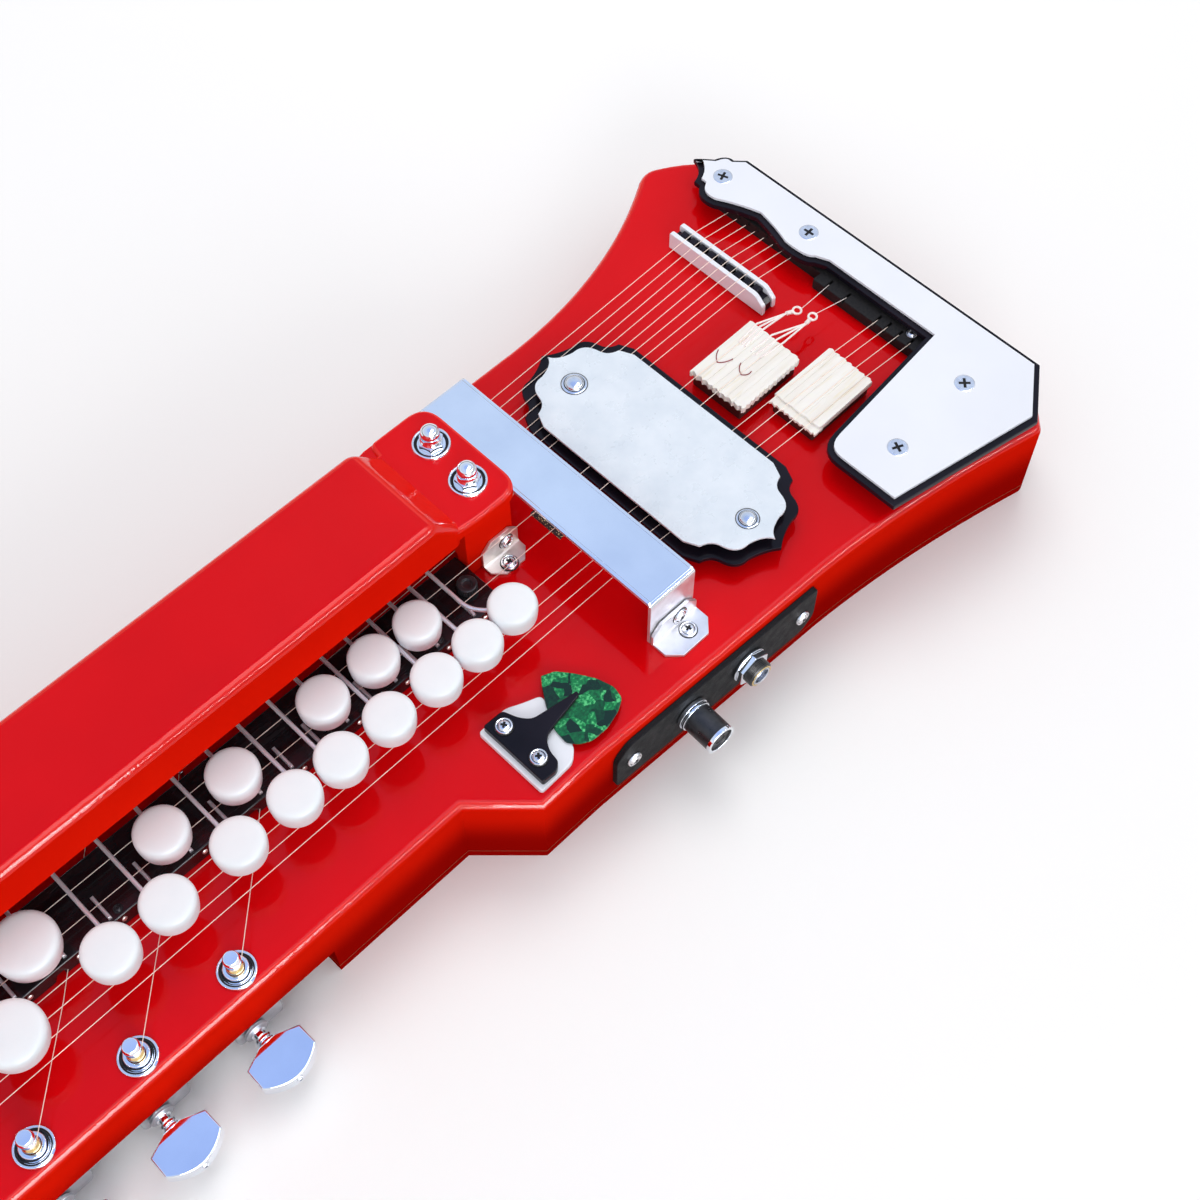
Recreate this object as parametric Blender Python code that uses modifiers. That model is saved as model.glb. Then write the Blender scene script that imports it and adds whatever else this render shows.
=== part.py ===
# Bulbul tarang: a long wooden box zither with typewriter keys over two melody strings.
# Metres. +X runs towards the bridge end, +Y towards the key cover, +Z up from the floor.
# The origin lies on the underside, below the middle of the string length's box.

import math

import bmesh
import bpy
from mathutils import Matrix, Vector

# Clearances
SEAT_GAP = 0.0003
TURN_GAP = 0.0004

# Box
BODY_HEIGHT = 0.042
BOTTOM_BOARD = 0.004
TOP_BOARD = 0.006
SIDE_WALL = 0.008
LEDGE_THICKNESS = 0.023
EDGE_ROUND = 0.004
BODY_END_X = 0.427
HEAD_LENGTH = 0.1558
HEAD_CORNER = 0.016
NECK_NEAR_Y = -0.0612
NECK_FAR_Y = 0.052
BODY_NEAR_Y = -0.0815
BODY_FAR_Y = 0.0735
SHOULDER_X = 0.137
TAIL_NEAR_Y = -0.1035
TAIL_FAR_Y = 0.1025
TAIL_NEAR_CUT = 0.018
TAIL_FAR_BLUNT = 0.024
CONTROLS_WALL = (0.185, 0.300)
CONTROLS_SLOPE = -0.040
LEDGE_END_X = 0.0755
LEDGE_DEPTH = 0.023

# Strings and frets
BRIDGE_X = 0.3364
FIRST_FRET_LENGTH = 0.1464
KEY_COUNT = 24
NEAR_ROW_STEPS = (0, 1, 3, 5, 7, 8, 10)
MELODY_Y = (-0.0062, 0.0042)
MELODY_HEIGHT = 0.0105
DRONE_Y = (-0.0365, -0.0165)
DRONE_HEIGHT = 0.0055
STRING_ROOM = 0.0004

# Fretboard
FRETBOARD_THICKNESS = 0.0075
FRETBOARD_NEAR_Y = -0.0133
FRETBOARD_FAR_Y = 0.0125
FRETBOARD_PAST_FRET = 0.0125
FRET_FROM_EDGE = 0.0016
FRET_LENGTH = 0.0104
FRET_WIDTH = 0.0013
FRET_HEIGHT = 0.0014
SIDE_STRING_GROOVE = 0.0035

# Keys
ROD_BEHIND_FRET = (0.0027, 0.0047)
ROD_EASE_KEYS = 8
ROD_HEIGHT = 0.0160
ROD_RADIUS = 0.0010
PIVOT_Y = 0.036
PIVOT_RADIUS = 0.0015
EYE_RADIUS = 0.0032
EYE_WIDTH = 0.005
NEAR_ROW_Y = -0.0269
FAR_ROW_Y = -0.0058
BUTTON_RADIUS = 0.0092
BUTTON_GROWTH = 0.00004
LARGE_BUTTON_RADIUS = 0.0114
LARGE_BUTTONS_FROM = 14
BUTTON_HEIGHT = 0.0100
BUTTON_BELOW_ROD = 0.0005
BUTTON_FOOT = 0.87
BUTTON_SHIFTS = {0: 0.0100, 7: 0.0026, 8: -0.0043, 12: 0.0029, 13: -0.0029, 14: -0.0023, 15: -0.0029}
FIRST_BUTTON_Y = -0.0247

# Key cover and key rail
COVER_HEIGHT = 0.053
COVER_NEAR_Y = 0.0018
COVER_FAR_Y = 0.0480
COVER_WALL = 0.005
COVER_ROOF = 0.006
COVER_MOUTH = 0.030
COVER_ROUND = 0.004
COVER_PAST_FIRST_FRET = 0.0095
COVER_END_SLOPE = 0.0112
PLATFORM_LENGTH = 0.0282
PLATFORM_HEIGHT = 0.040
PLATFORM_THICKNESS = 0.006
PLATFORM_CORNER = 0.0095
PLATFORM_NEAR_Y = 0.0012
PLATFORM_FAR_Y = 0.0534
PLATFORM_FOOT_Y = 0.0057
STRING_TUNNEL = ((0.0110, 0.0405), (0.0022, 0.0112))
RAIL_WIDTH = 0.003
RAIL_HEIGHT = 0.0255
CHEEK_WIDTH = 0.0035

# Hand rest
REST_PAST_FIRST_FRET = 0.0397
REST_WIDTH = 0.0228
REST_Y = (-0.0618, 0.0610)
REST_HEIGHT = 0.026
REST_SHEET = 0.0015
REST_ANGLE_FOOT = 0.0123
REST_ANGLE_LEG = 0.0108
REST_ANGLE_CORNER = 0.006

# Name plate
NAME_CENTRE_Y = -0.0065
NAME_FROM_REST = 0.0096
NAME_FROM_BRIDGE = 0.00575
NAME_PLATE_SHIFT = (-0.0010, -0.0010)
NAME_HALF_LENGTH = 0.0605
NAME_SCREWS = ((0.2877, 0.0359), (0.2890, -0.0548))
NAME_BORDER = 0.0037
NAME_BASE_TOP = 0.0076
NAME_BASE_THICKNESS = 0.002
NAME_PLATE_TOP = 0.0120
NAME_PLATE_THICKNESS = 0.001
NAME_POST_RADIUS = 0.0019

# Tail cover and tailpiece
TAIL_OUTER_X = 0.4255
TAIL_ARM_X = 0.4045
TAIL_BLOCK_X = 0.3329
TAIL_BLOCK_Y = -0.0510
TAIL_NEAR_SLOPE_Y = (-0.0893, -0.1028)
TAIL_TIP_Y = 0.0873
TAIL_BORDER = 0.0025
TAIL_COVER_UNDER = 0.0075
TAIL_BASE_THICKNESS = 0.0025
TAIL_TOP_THICKNESS = 0.002
TAIL_SCREWS = ((0.4101, 0.0705), (0.4121, 0.0238), (0.3962, -0.0716), (0.3540, -0.0730))
TAIL_POST_RADIUS = 0.004
TAILPIECE_X = (0.3985, 0.4062)
TAILPIECE_Y = (-0.0500, 0.0660)
TAILPIECE_HEIGHT = 0.0060
MELODY_TAIL_Y = (-0.0075, 0.0021)
DRONE_TAIL_Y = (-0.0412, -0.0352, -0.0293, -0.0241)

# Bridges
SYMPATHETIC_BRIDGE = ((0.3728, 0.3812), (0.0133, 0.0660))
SYMPATHETIC_HEIGHT = 0.0090
SYMPATHETIC_TIP = (0.0047, 0.0040)
SYMPATHETIC_FIRST_Y = 0.0231
SYMPATHETIC_PITCH = 0.00507
MELODY_BRIDGE = ((0.3430, -0.0037), (0.0355, 0.0280), 1.5)
DRONE_BRIDGE = ((0.3563, -0.0330), (0.0364, 0.0240), 0.6)
DRONE_BRIDGE_HEIGHT = 0.0085
BRIDGE_FOOT_INSET = 0.0015
NUT_THICKNESS = 0.005

# Tuners
SIDE_TUNERS = 8
FIRST_SIDE_TUNER_X = 0.0452
LAST_TUNER_PAST_NUT = 0.0109
SIDE_POST_FROM_EDGE = 0.0092
HEAD_TUNERS = 3
HEAD_TUNER_FROM_END = 0.034
HEAD_TUNER_PITCH = 0.0405
HEAD_POST_FROM_EDGE = 0.0185
HOUSING_LENGTH = 0.020
HOUSING_WIDTH = 0.0185
HOUSING_HEIGHT = 0.0135
TUNER_PLATE = 0.0015
POST_RADIUS = 0.0030
POST_HEIGHT = 0.0125
BUSHING_RADIUS = 0.0050
WASHER_RADIUS = 0.0070
WORM_OFFSET = 0.0058
SHAFT_BELOW_LEDGE = 0.0075
SHAFT_RADIUS = 0.0024
KNOB_LENGTH = 0.0170
KNOB_WIDTH = 0.0232
KNOB_THICKNESS = 0.0068
KNOB_FROM_EDGE = 0.0062

# Controls
PLATE_LENGTH = 0.1030
PLATE_HEIGHT = 0.0250
PLATE_THICKNESS = 0.0022
CONTROL_Z = 0.0250
VOLUME_X = 0.2273
JACK_X = 0.2570
VOLUME_RADIUS = 0.0064
VOLUME_LENGTH = 0.0161
VOLUME_STEM_RADIUS = 0.0030
JACK_BARREL_RADIUS = 0.0056
JACK_HOLE_RADIUS = 0.0033
JACK_NUT_RADIUS = 0.0078
JACK_NUT_THICKNESS = 0.0036
JACK_STAND_OFF = 0.0083

# Pick and its holder
HOLDER_X = 0.1600
HOLDER_Y = (-0.0766, -0.0453)
HOLDER_THICKNESS = 0.0022
CLIP_THICKNESS = 0.0018
PICK_THICKNESS = 0.0008
PICK_CENTRE = (0.1915, -0.0648)
PICK_RADIUS = 0.0148

DECK_Z = BODY_HEIGHT
NUT_X = BRIDGE_X - FIRST_FRET_LENGTH * 2 ** (KEY_COUNT / 12)
FIRST_FRET_X = BRIDGE_X - FIRST_FRET_LENGTH
FRETBOARD_END_X = FIRST_FRET_X + FRETBOARD_PAST_FRET
COVER_X = (NUT_X + 0.006, FIRST_FRET_X + COVER_PAST_FIRST_FRET)
LEDGE_Z = BODY_HEIGHT - LEDGE_THICKNESS
ROD_Z = DECK_Z + ROD_HEIGHT
SHAFT_HEIGHT = LEDGE_Z - SHAFT_BELOW_LEDGE
HEAD_END_X = NUT_X - HEAD_LENGTH
LOWER_LEFT_X = NUT_X - 0.014
SIDE_TUNER_PITCH = (FIRST_SIDE_TUNER_X - NUT_X - LAST_TUNER_PAST_NUT) / (SIDE_TUNERS - 1)
REST_X = (FIRST_FRET_X + REST_PAST_FIRST_FRET, FIRST_FRET_X + REST_PAST_FIRST_FRET + REST_WIDTH)
NAME_BASE_X = (REST_X[1] + NAME_FROM_REST, MELODY_BRIDGE[0][0] - MELODY_BRIDGE[1][0] / 2 - NAME_FROM_BRIDGE)
NAME_CENTRE = (sum(NAME_BASE_X) / 2, NAME_CENTRE_Y)
NAME_PLATE_CENTRE = (NAME_CENTRE[0] + NAME_PLATE_SHIFT[0], NAME_CENTRE[1] + NAME_PLATE_SHIFT[1])
NAME_HALF_WIDTH = (NAME_BASE_X[1] - NAME_BASE_X[0]) / 2 - NAME_BORDER


def clear_scene():
    for obj in list(bpy.data.objects):
        bpy.data.objects.remove(obj, do_unlink=True)


def make_collection(name):
    found = bpy.data.collections.new(name)
    bpy.context.scene.collection.children.link(found)
    return found


clear_scene()
PARTS = make_collection("bulbul_tarang")
CUTTERS = make_collection("cutters")


def make_material(name, colour, roughness, metallic=0.0):
    made = bpy.data.materials.new(name)
    made.use_nodes = True
    shader = made.node_tree.nodes["Principled BSDF"]
    shader.inputs["Base Color"].default_value = (*colour, 1.0)
    shader.inputs["Roughness"].default_value = roughness
    shader.inputs["Metallic"].default_value = metallic
    return made


RED_LACQUER = make_material("red_lacquer", (0.72, 0.010, 0.012), 0.12)
PLAIN_BOARD = make_material("plain_board", (0.30, 0.17, 0.08), 0.6)
BLACK_GLOSS = make_material("black_gloss", (0.012, 0.012, 0.020), 0.15)
WHITE_GLOSS = make_material("white_gloss", (0.90, 0.92, 0.98), 0.2)
BUTTON_WHITE = make_material("button_white", (0.90, 0.90, 0.98), 0.25)
CHROME = make_material("chrome", (0.80, 0.84, 0.90), 0.06, 1.0)
STEEL = make_material("steel", (0.55, 0.56, 0.60), 0.25, 1.0)
IVORY = make_material("ivory", (0.88, 0.82, 0.68), 0.35)
PALE_METAL = make_material("pale_metal", (0.82, 0.87, 0.92), 0.3, 0.6)
DARK_PLATE = make_material("dark_plate", (0.035, 0.035, 0.038), 0.6)
GREEN_PEARL = make_material("green_pearl", (0.0, 0.20, 0.05), 0.2)


def new_object(name, mesh, finish=None):
    """A shape with a finish is a part; one without is a cutter or a shape to be joined."""
    obj = bpy.data.objects.new(name, mesh)
    if finish is None:
        CUTTERS.objects.link(obj)
        obj.hide_render = True
        obj.display_type = "WIRE"
    else:
        PARTS.objects.link(obj)
        obj.data.materials.append(finish)
    return obj


def mesh_of(form):
    mesh = bpy.data.meshes.new("shape")
    form.to_mesh(mesh)
    form.free()
    return mesh


def evaluated_mesh(obj):
    bpy.context.view_layer.update()
    graph = bpy.context.evaluated_depsgraph_get()
    return bpy.data.meshes.new_from_object(obj.evaluated_get(graph))


def box(name, low, high, finish=None):
    low, high = Vector(low), Vector(high)
    form = bmesh.new()
    bmesh.ops.create_cube(form, size=1.0)
    bmesh.ops.scale(form, vec=high - low, verts=form.verts)
    bmesh.ops.translate(form, vec=(high + low) / 2, verts=form.verts)
    return new_object(name, mesh_of(form), finish)


def turning_to(direction):
    return Vector((0, 0, 1)).rotation_difference(Vector(direction)).to_matrix().to_4x4()


def cylinder(name, start, end, radius, segments=16, finish=None):
    start, end = Vector(start), Vector(end)
    form = bmesh.new()
    bmesh.ops.create_cone(
        form, cap_ends=True, segments=segments, radius1=radius, radius2=radius, depth=(end - start).length
    )
    place = Matrix.Translation((start + end) / 2) @ turning_to(end - start)
    bmesh.ops.transform(form, matrix=place, verts=form.verts)
    return new_object(name, mesh_of(form), finish)


def turned(name, profile, base, direction=(0, 0, 1), segments=12, finish=None):
    """A profile of (radius, height) pairs, from the top of the axis down the outer side to its foot."""
    mesh = bpy.data.meshes.new("profile")
    mesh.from_pydata([(r, 0, z) for r, z in profile], [(i, i + 1) for i in range(len(profile) - 1)], [])
    guide = new_object("profile", mesh)
    spin = guide.modifiers.new("Screw", "SCREW")
    spin.axis = "Z"
    spin.angle = math.tau
    spin.steps = segments
    spin.render_steps = segments
    spin.use_merge_vertices = True
    spin.merge_threshold = 0.00001
    solid = evaluated_mesh(guide)
    bpy.data.objects.remove(guide)
    solid.transform(Matrix.Translation(base) @ turning_to(direction))
    obj = new_object(name, solid, finish)
    solid.shade_smooth()
    solid.set_sharp_from_angle(angle=math.radians(40))
    return obj


def circle(centre, radius, steps=16):
    x, y = centre
    return [
        (x + radius * math.cos(math.tau * i / steps), y + radius * math.sin(math.tau * i / steps))
        for i in range(steps)
    ]


def arc_between(start, control, end, steps):
    """Points after the start of a curve that leaves it towards the control point."""
    found = []
    for i in range(1, steps + 1):
        t = i / steps
        found.append(
            tuple((1 - t) ** 2 * a + 2 * t * (1 - t) * b + t * t * c for a, b, c in zip(start, control, end))
        )
    return found


def rounded(corners, steps=3):
    """An outline whose corners, given as (x, y, radius), are rounded off."""
    found = []
    for i, (x, y, radius) in enumerate(corners):
        if not radius:
            found.append((x, y))
            continue
        here = Vector((x, y))
        before = Vector(corners[i - 1][:2]) - here
        after = Vector(corners[(i + 1) % len(corners)][:2]) - here
        start = here + before.normalized() * radius
        end = here + after.normalized() * radius
        found.append(tuple(start))
        found += arc_between(start, here, end, steps)
    return found


def plate(name, rings, bottom, top, finish=None, rim=0.0, foot=0.0, rim_steps=2):
    """A flat sheet between two heights. The first ring is its outline and the others are holes."""
    curve = bpy.data.curves.new("outline", "CURVE")
    curve.dimensions = "2D"
    curve.fill_mode = "BOTH"
    curve.extrude = (top - bottom) / 2
    for ring in rings:
        spline = curve.splines.new("POLY")
        spline.points.add(len(ring) - 1)
        for point, (x, y) in zip(spline.points, ring):
            point.co = (x, y, 0, 1)
        spline.use_cyclic_u = True
    guide = bpy.data.objects.new("outline", curve)
    CUTTERS.objects.link(guide)
    guide.location.z = (top + bottom) / 2
    mesh = evaluated_mesh(guide)
    mesh.transform(Matrix.Translation((0, 0, (top + bottom) / 2)))
    bpy.data.objects.remove(guide)
    form = bmesh.new()
    form.from_mesh(mesh)
    bmesh.ops.remove_doubles(form, verts=form.verts, dist=0.00001)
    bmesh.ops.dissolve_limit(form, angle_limit=0.001, verts=form.verts, edges=form.edges)
    bmesh.ops.recalc_face_normals(form, faces=form.faces)
    outline = {(round(x, 6), round(y, 6)) for x, y in rings[0]}
    for height, width in ((top, rim), (bottom, foot)):
        if width:
            edges = [
                edge
                for edge in form.edges
                if all(abs(v.co.z - height) < 0.00001 for v in edge.verts)
                and all((round(v.co.x, 6), round(v.co.y, 6)) in outline for v in edge.verts)
            ]
            bmesh.ops.bevel(
                form, geom=edges, offset=width, segments=rim_steps, profile=0.5, affect="EDGES",
                clamp_overlap=True,
            )
    obj = new_object(name, mesh_of(form), finish)
    obj.data.shade_smooth()
    obj.data.set_sharp_from_angle(angle=math.radians(35))
    return obj


def boolean(target, other, operation):
    step = target.modifiers.new(operation.capitalize(), "BOOLEAN")
    step.operation = operation
    step.object = other
    step.solver = "EXACT"


def cut(target, *cutters):
    for cutter in cutters:
        boolean(target, cutter, "DIFFERENCE")
    return target


def join(target, *others):
    for other in others:
        boolean(target, other, "UNION")
    return target


def merged(name, pieces):
    """Separate shapes put in one mesh, as one cutter or one set of shapes to be joined."""
    form = bmesh.new()
    for piece in pieces:
        form.from_mesh(piece.data)
        bpy.data.objects.remove(piece)
    return new_object(name, mesh_of(form))


def with_bevel(obj, width, segments=2, angle=40):
    bevel = obj.modifiers.new("Bevel", "BEVEL")
    bevel.width = width
    bevel.segments = segments
    bevel.limit_method = "ANGLE"
    bevel.angle_limit = math.radians(angle)
    bevel.harden_normals = False
    return obj


def turn_object(obj, angle, centre, axis="Z"):
    centre = Vector(centre)
    obj.data.transform(
        Matrix.Translation(centre) @ Matrix.Rotation(angle, 4, axis) @ Matrix.Translation(-centre)
    )


def set_origin(obj, point):
    point = Vector(point)
    obj.data.transform(Matrix.Translation(-point))
    obj.location = point


# Body

def controls_wall_y(x):
    return BODY_NEAR_Y + CONTROLS_SLOPE * (x - CONTROLS_WALL[0])


def tail_outline(inset):
    """The wide end of the box, from the near shoulder round to the far one."""
    wall_left, wall_right = CONTROLS_WALL
    near_y = BODY_NEAR_Y + inset
    wall_end = (wall_right, controls_wall_y(wall_right) + inset)
    end_x = BODY_END_X - inset
    near_tip = (end_x - TAIL_NEAR_CUT, TAIL_NEAR_Y + inset)
    far_tip = (end_x - TAIL_FAR_BLUNT, TAIL_FAR_Y - inset)
    far_start = (wall_left + 0.105, BODY_FAR_Y - inset)
    shoulder = SHOULDER_X + NECK_NEAR_Y - BODY_NEAR_Y + inset * 0.4
    points = [(shoulder, near_y), (wall_left, near_y), wall_end]
    points += arc_between(wall_end, (wall_end[0] + 0.050, wall_end[1] - 0.003), near_tip, 5)
    points += [(end_x, near_tip[1] + TAIL_NEAR_CUT), (end_x, far_tip[1] - 0.028)]
    points += arc_between(points[-1], (end_x - 0.001, far_tip[1] - 0.012), far_tip, 3)
    round_end = (far_tip[0] - 0.013, far_tip[1] - 0.0015)
    points += arc_between(far_tip, (far_tip[0] - 0.006, far_tip[1] + 0.0035), round_end, 3)
    points += arc_between(round_end, (far_start[0] + 0.055, far_start[1] + 0.001), far_start, 6)
    points += [(SHOULDER_X + (BODY_FAR_Y - NECK_FAR_Y) + inset * 0.4, BODY_FAR_Y - inset)]
    return points


def deck_outline():
    head_near = (HEAD_END_X, NECK_NEAR_Y, HEAD_CORNER)
    head_far = (HEAD_END_X, NECK_FAR_Y, HEAD_CORNER)
    head = rounded([head_near, (0, NECK_NEAR_Y, 0), (0, NECK_FAR_Y, 0), head_far], 4)
    near_arc, far_arc = head[:5], head[-5:]
    return near_arc + [(SHOULDER_X, NECK_NEAR_Y)] + tail_outline(0.0) + [(SHOULDER_X, NECK_FAR_Y)] + far_arc


def lower_outline(inset):
    """The deep part of the box, which leaves the near strip of the neck as a thin ledge."""
    left = LOWER_LEFT_X + inset
    ledge_y = NECK_NEAR_Y + LEDGE_DEPTH + inset
    near = NECK_NEAR_Y + inset
    far = NECK_FAR_Y - inset
    step = LEDGE_END_X + inset
    points = [(left, ledge_y), (step, ledge_y), (step, near), (SHOULDER_X + inset * 0.4, near)]
    return points + tail_outline(inset) + [(SHOULDER_X + inset * 0.4, far), (left, far)]


def side_tuner_posts():
    y = NECK_NEAR_Y + SIDE_POST_FROM_EDGE
    return [(FIRST_SIDE_TUNER_X - i * SIDE_TUNER_PITCH, y) for i in range(SIDE_TUNERS)]


def head_tuner_posts(side):
    """side is -1 for the near row and 1 for the far row."""
    edge = NECK_NEAR_Y if side < 0 else NECK_FAR_Y
    y = edge - side * HEAD_POST_FROM_EDGE
    return [(HEAD_END_X + HEAD_TUNER_FROM_END + i * HEAD_TUNER_PITCH, y) for i in range(HEAD_TUNERS)]


def control_direction():
    return Vector((-CONTROLS_SLOPE, 1, 0)).normalized()


def control_point(x, outward):
    """A point in front of the controls wall, at the controls' height."""
    on_wall = Vector((x, controls_wall_y(x), CONTROL_Z))
    return on_wall - control_direction() * outward


def make_body():
    body = plate("body_shell", [deck_outline()], LEDGE_Z, DECK_Z, RED_LACQUER, EDGE_ROUND, 0.0015, 3)
    lower = plate("lower_box", [lower_outline(0.0)], BOTTOM_BOARD + SEAT_GAP, LEDGE_Z + 0.006)
    hollow = plate("hollow", [lower_outline(SIDE_WALL)], 0.0, DECK_Z - TOP_BOARD)
    holes = [
        cylinder("post_hole", (x, y, LEDGE_Z - 0.01), (x, y, DECK_Z + 0.01), POST_RADIUS + SEAT_GAP, 10)
        for x, y in side_tuner_posts() + head_tuner_posts(-1) + head_tuner_posts(1)
    ]
    join(body, lower)
    cut(body, hollow, merged("post_holes", holes))
    cut(body, cylinder("volume_hole", control_point(VOLUME_X, 0.01), control_point(VOLUME_X, -0.02),
                       VOLUME_STEM_RADIUS + 0.002))
    cut(body, cylinder("jack_hole", control_point(JACK_X, 0.01), control_point(JACK_X, -0.02),
                       JACK_BARREL_RADIUS + SEAT_GAP))
    return body


def make_bottom_board():
    return plate("bottom_board", [lower_outline(0.0)], 0.0, BOTTOM_BOARD, PLAIN_BOARD)


# Key cover and what it hides

def cover_block(low, high):
    """A long box whose ends slope in above the platforms, with its upper edges rounded off."""
    obj = box("key_cover", low, high, RED_LACQUER)
    shelf = DECK_Z + PLATFORM_HEIGHT
    form = bmesh.new()
    form.from_mesh(obj.data)
    for side, x in ((-1, low[0]), (1, high[0])):
        everything = form.verts[:] + form.edges[:] + form.faces[:]
        outward = Vector((side * (high[2] - shelf), 0, COVER_END_SLOPE))
        bmesh.ops.bisect_plane(
            form, geom=everything, plane_co=(x, 0, shelf), plane_no=outward, clear_outer=True
        )
        bmesh.ops.holes_fill(form, edges=[edge for edge in form.edges if edge.is_boundary])
    ends = {edge: sorted(v.co.z - shelf for v in edge.verts) for edge in form.edges}
    upper = [edge for edge, (low_z, high_z) in ends.items() if low_z > -0.00001 and high_z > 0.00001]
    bmesh.ops.bevel(form, geom=upper, offset=COVER_ROUND, segments=3, profile=0.5, affect="EDGES")
    form.to_mesh(obj.data)
    form.free()
    obj.data.shade_smooth()
    obj.data.set_sharp_from_angle(angle=math.radians(35))
    return obj


def make_cover():
    left, right = COVER_X
    foot = DECK_Z + SEAT_GAP
    roof = DECK_Z + COVER_HEIGHT
    mouth = DECK_Z + COVER_MOUTH
    inner_far = COVER_FAR_Y - COVER_WALL
    cover = cover_block((left, COVER_NEAR_Y, foot), (right, COVER_FAR_Y, roof))
    end_wall = COVER_END_SLOPE + 0.0015
    hollow = box("cover_hollow", (left + end_wall, COVER_NEAR_Y + COVER_WALL, mouth - 0.005),
                 (right - end_wall, inner_far - 0.001, roof - COVER_ROOF))
    opening = box("cover_mouth", (left - 0.01, COVER_NEAR_Y - 0.01, foot - 0.01),
                  (right + 0.01, inner_far, mouth))
    cut(cover, hollow, opening)
    beside_board = FRETBOARD_FAR_Y + SEAT_GAP
    plain_end = (left - PLATFORM_LENGTH, NECK_FAR_Y - 0.0005)
    plain_shelf, plain_foot = cover_end(-1, left, plain_end, (left - SEAT_GAP, beside_board))
    near_end = (right + PLATFORM_LENGTH, PLATFORM_FAR_Y)
    shelf, foot_block = cover_end(1, right, near_end, (FRETBOARD_END_X + SEAT_GAP, PLATFORM_FOOT_Y))
    tunnel_y, tunnel_z = STRING_TUNNEL
    cut(foot_block, box("string_tunnel", (right - 0.01, tunnel_y[0], DECK_Z + tunnel_z[0]),
                        (right + PLATFORM_LENGTH + 0.01, tunnel_y[1], DECK_Z + tunnel_z[1])))
    return join(cover, plain_shelf, plain_foot, shelf, foot_block)


def cover_end(side, inner, far_corner, foot_corner):
    """A platform beyond the end wall of the cover, and the foot that it stands on."""
    outer, far = far_corner
    foot_x, foot_y = foot_corner
    lap = inner - side * (COVER_WALL - 0.001)
    top = DECK_Z + PLATFORM_HEIGHT
    corner = PLATFORM_CORNER
    near = PLATFORM_NEAR_Y
    outline = [(lap, COVER_NEAR_Y + 0.0003, 0), (inner, COVER_NEAR_Y + 0.0003, 0),
               (inner + side * 0.008, near, 0.002), (outer, near, corner), (outer, far, corner),
               (inner + side * 0.001, far, 0.0005), (inner, COVER_FAR_Y - 0.0003, 0),
               (lap, COVER_FAR_Y - 0.0003, 0)]
    if side < 0:
        outline.reverse()
    shelf = plate("platform", [rounded(outline, 3)], top - PLATFORM_THICKNESS, top, rim=0.0015)
    low_x, high_x = sorted((foot_x, outer - side * 0.0025))
    foot = box("platform_foot", (low_x, foot_y, DECK_Z + SEAT_GAP),
               (high_x, COVER_FAR_Y - 0.001, top - PLATFORM_THICKNESS / 2))
    return shelf, foot


def make_key_rail():
    """The bar along the cover's far wall, its cheeks and the rod that the keys turn on."""
    left = COVER_X[0] + COVER_WALL + SEAT_GAP
    right = COVER_X[1] - COVER_WALL - SEAT_GAP
    far = COVER_FAR_Y - COVER_WALL - SEAT_GAP
    foot = DECK_Z + SEAT_GAP
    near = far - RAIL_WIDTH
    rail = box("key_rail", (left, near, foot), (right, far, DECK_Z + RAIL_HEIGHT), STEEL)
    middle = rod_x(LARGE_BUTTONS_FROM - 2) - 0.009
    cheeks = [
        box("cheek", (x, PIVOT_Y - EYE_RADIUS, ROD_Z - EYE_RADIUS),
            (x + CHEEK_WIDTH, near + 0.001, ROD_Z + EYE_RADIUS))
        for x in (left, middle, right - CHEEK_WIDTH)
    ]
    start, end = (left + 0.001, PIVOT_Y, ROD_Z), (right - 0.001, PIVOT_Y, ROD_Z)
    rod = cylinder("pivot_rod", start, end, PIVOT_RADIUS, 10)
    return join(rail, merged("cheeks", cheeks), rod)


def make_fretboard():
    left = NUT_X + NUT_THICKNESS / 2 + SEAT_GAP
    foot = DECK_Z + SEAT_GAP
    top = DECK_Z + FRETBOARD_THICKNESS
    low, high = (left, FRETBOARD_NEAR_Y, foot), (FRETBOARD_END_X, FRETBOARD_FAR_Y, top)
    board = box("fretboard", low, high, BLACK_GLOSS)
    frets = []
    for n in range(KEY_COUNT):
        x = fret_x(n)
        near = FRETBOARD_NEAR_Y + FRET_FROM_EDGE
        frets.append(box("fret", (x - FRET_WIDTH / 2, near, top - 0.001),
                         (x + FRET_WIDTH / 2, near + FRET_LENGTH, top + FRET_HEIGHT)))
    grooves = []
    for x, y in side_tuner_posts():
        at_near = x + (FRETBOARD_NEAR_Y - y)
        groove = box("groove", (at_near - 0.03, -0.0015, foot - 0.001),
                     (at_near + 0.06, 0.0015, foot + SIDE_STRING_GROOVE))
        turn_object(groove, math.radians(45), (at_near, 0, foot))
        groove.data.transform(Matrix.Translation((0, FRETBOARD_NEAR_Y, 0)))
        grooves.append(groove)
    join(board, merged("frets", frets))
    return cut(board, merged("grooves", grooves))


# Keys

def fret_x(n):
    return BRIDGE_X - FIRST_FRET_LENGTH * 2 ** (n / 12)


def rod_x(n):
    first, later = ROD_BEHIND_FRET
    return fret_x(n) - first - (later - first) * min(n / ROD_EASE_KEYS, 1.0)


def button_radius(n):
    if n >= LARGE_BUTTONS_FROM:
        return LARGE_BUTTON_RADIUS
    return BUTTON_RADIUS + BUTTON_GROWTH * n


def button_profile(radius):
    """A low drum, narrower at the foot, with a rounded shoulder and a slightly domed top."""
    foot = -ROD_RADIUS - BUTTON_BELOW_ROD
    heights = ((1.00, 0.0), (0.97, 0.62), (0.86, 0.91), (0.71, 1.0), (0.53, 0.915), (0.0, BUTTON_FOOT))
    profile = [(radius * wide, foot + BUTTON_HEIGHT * high) for high, wide in heights]
    return profile + [(0, foot)]


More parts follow.
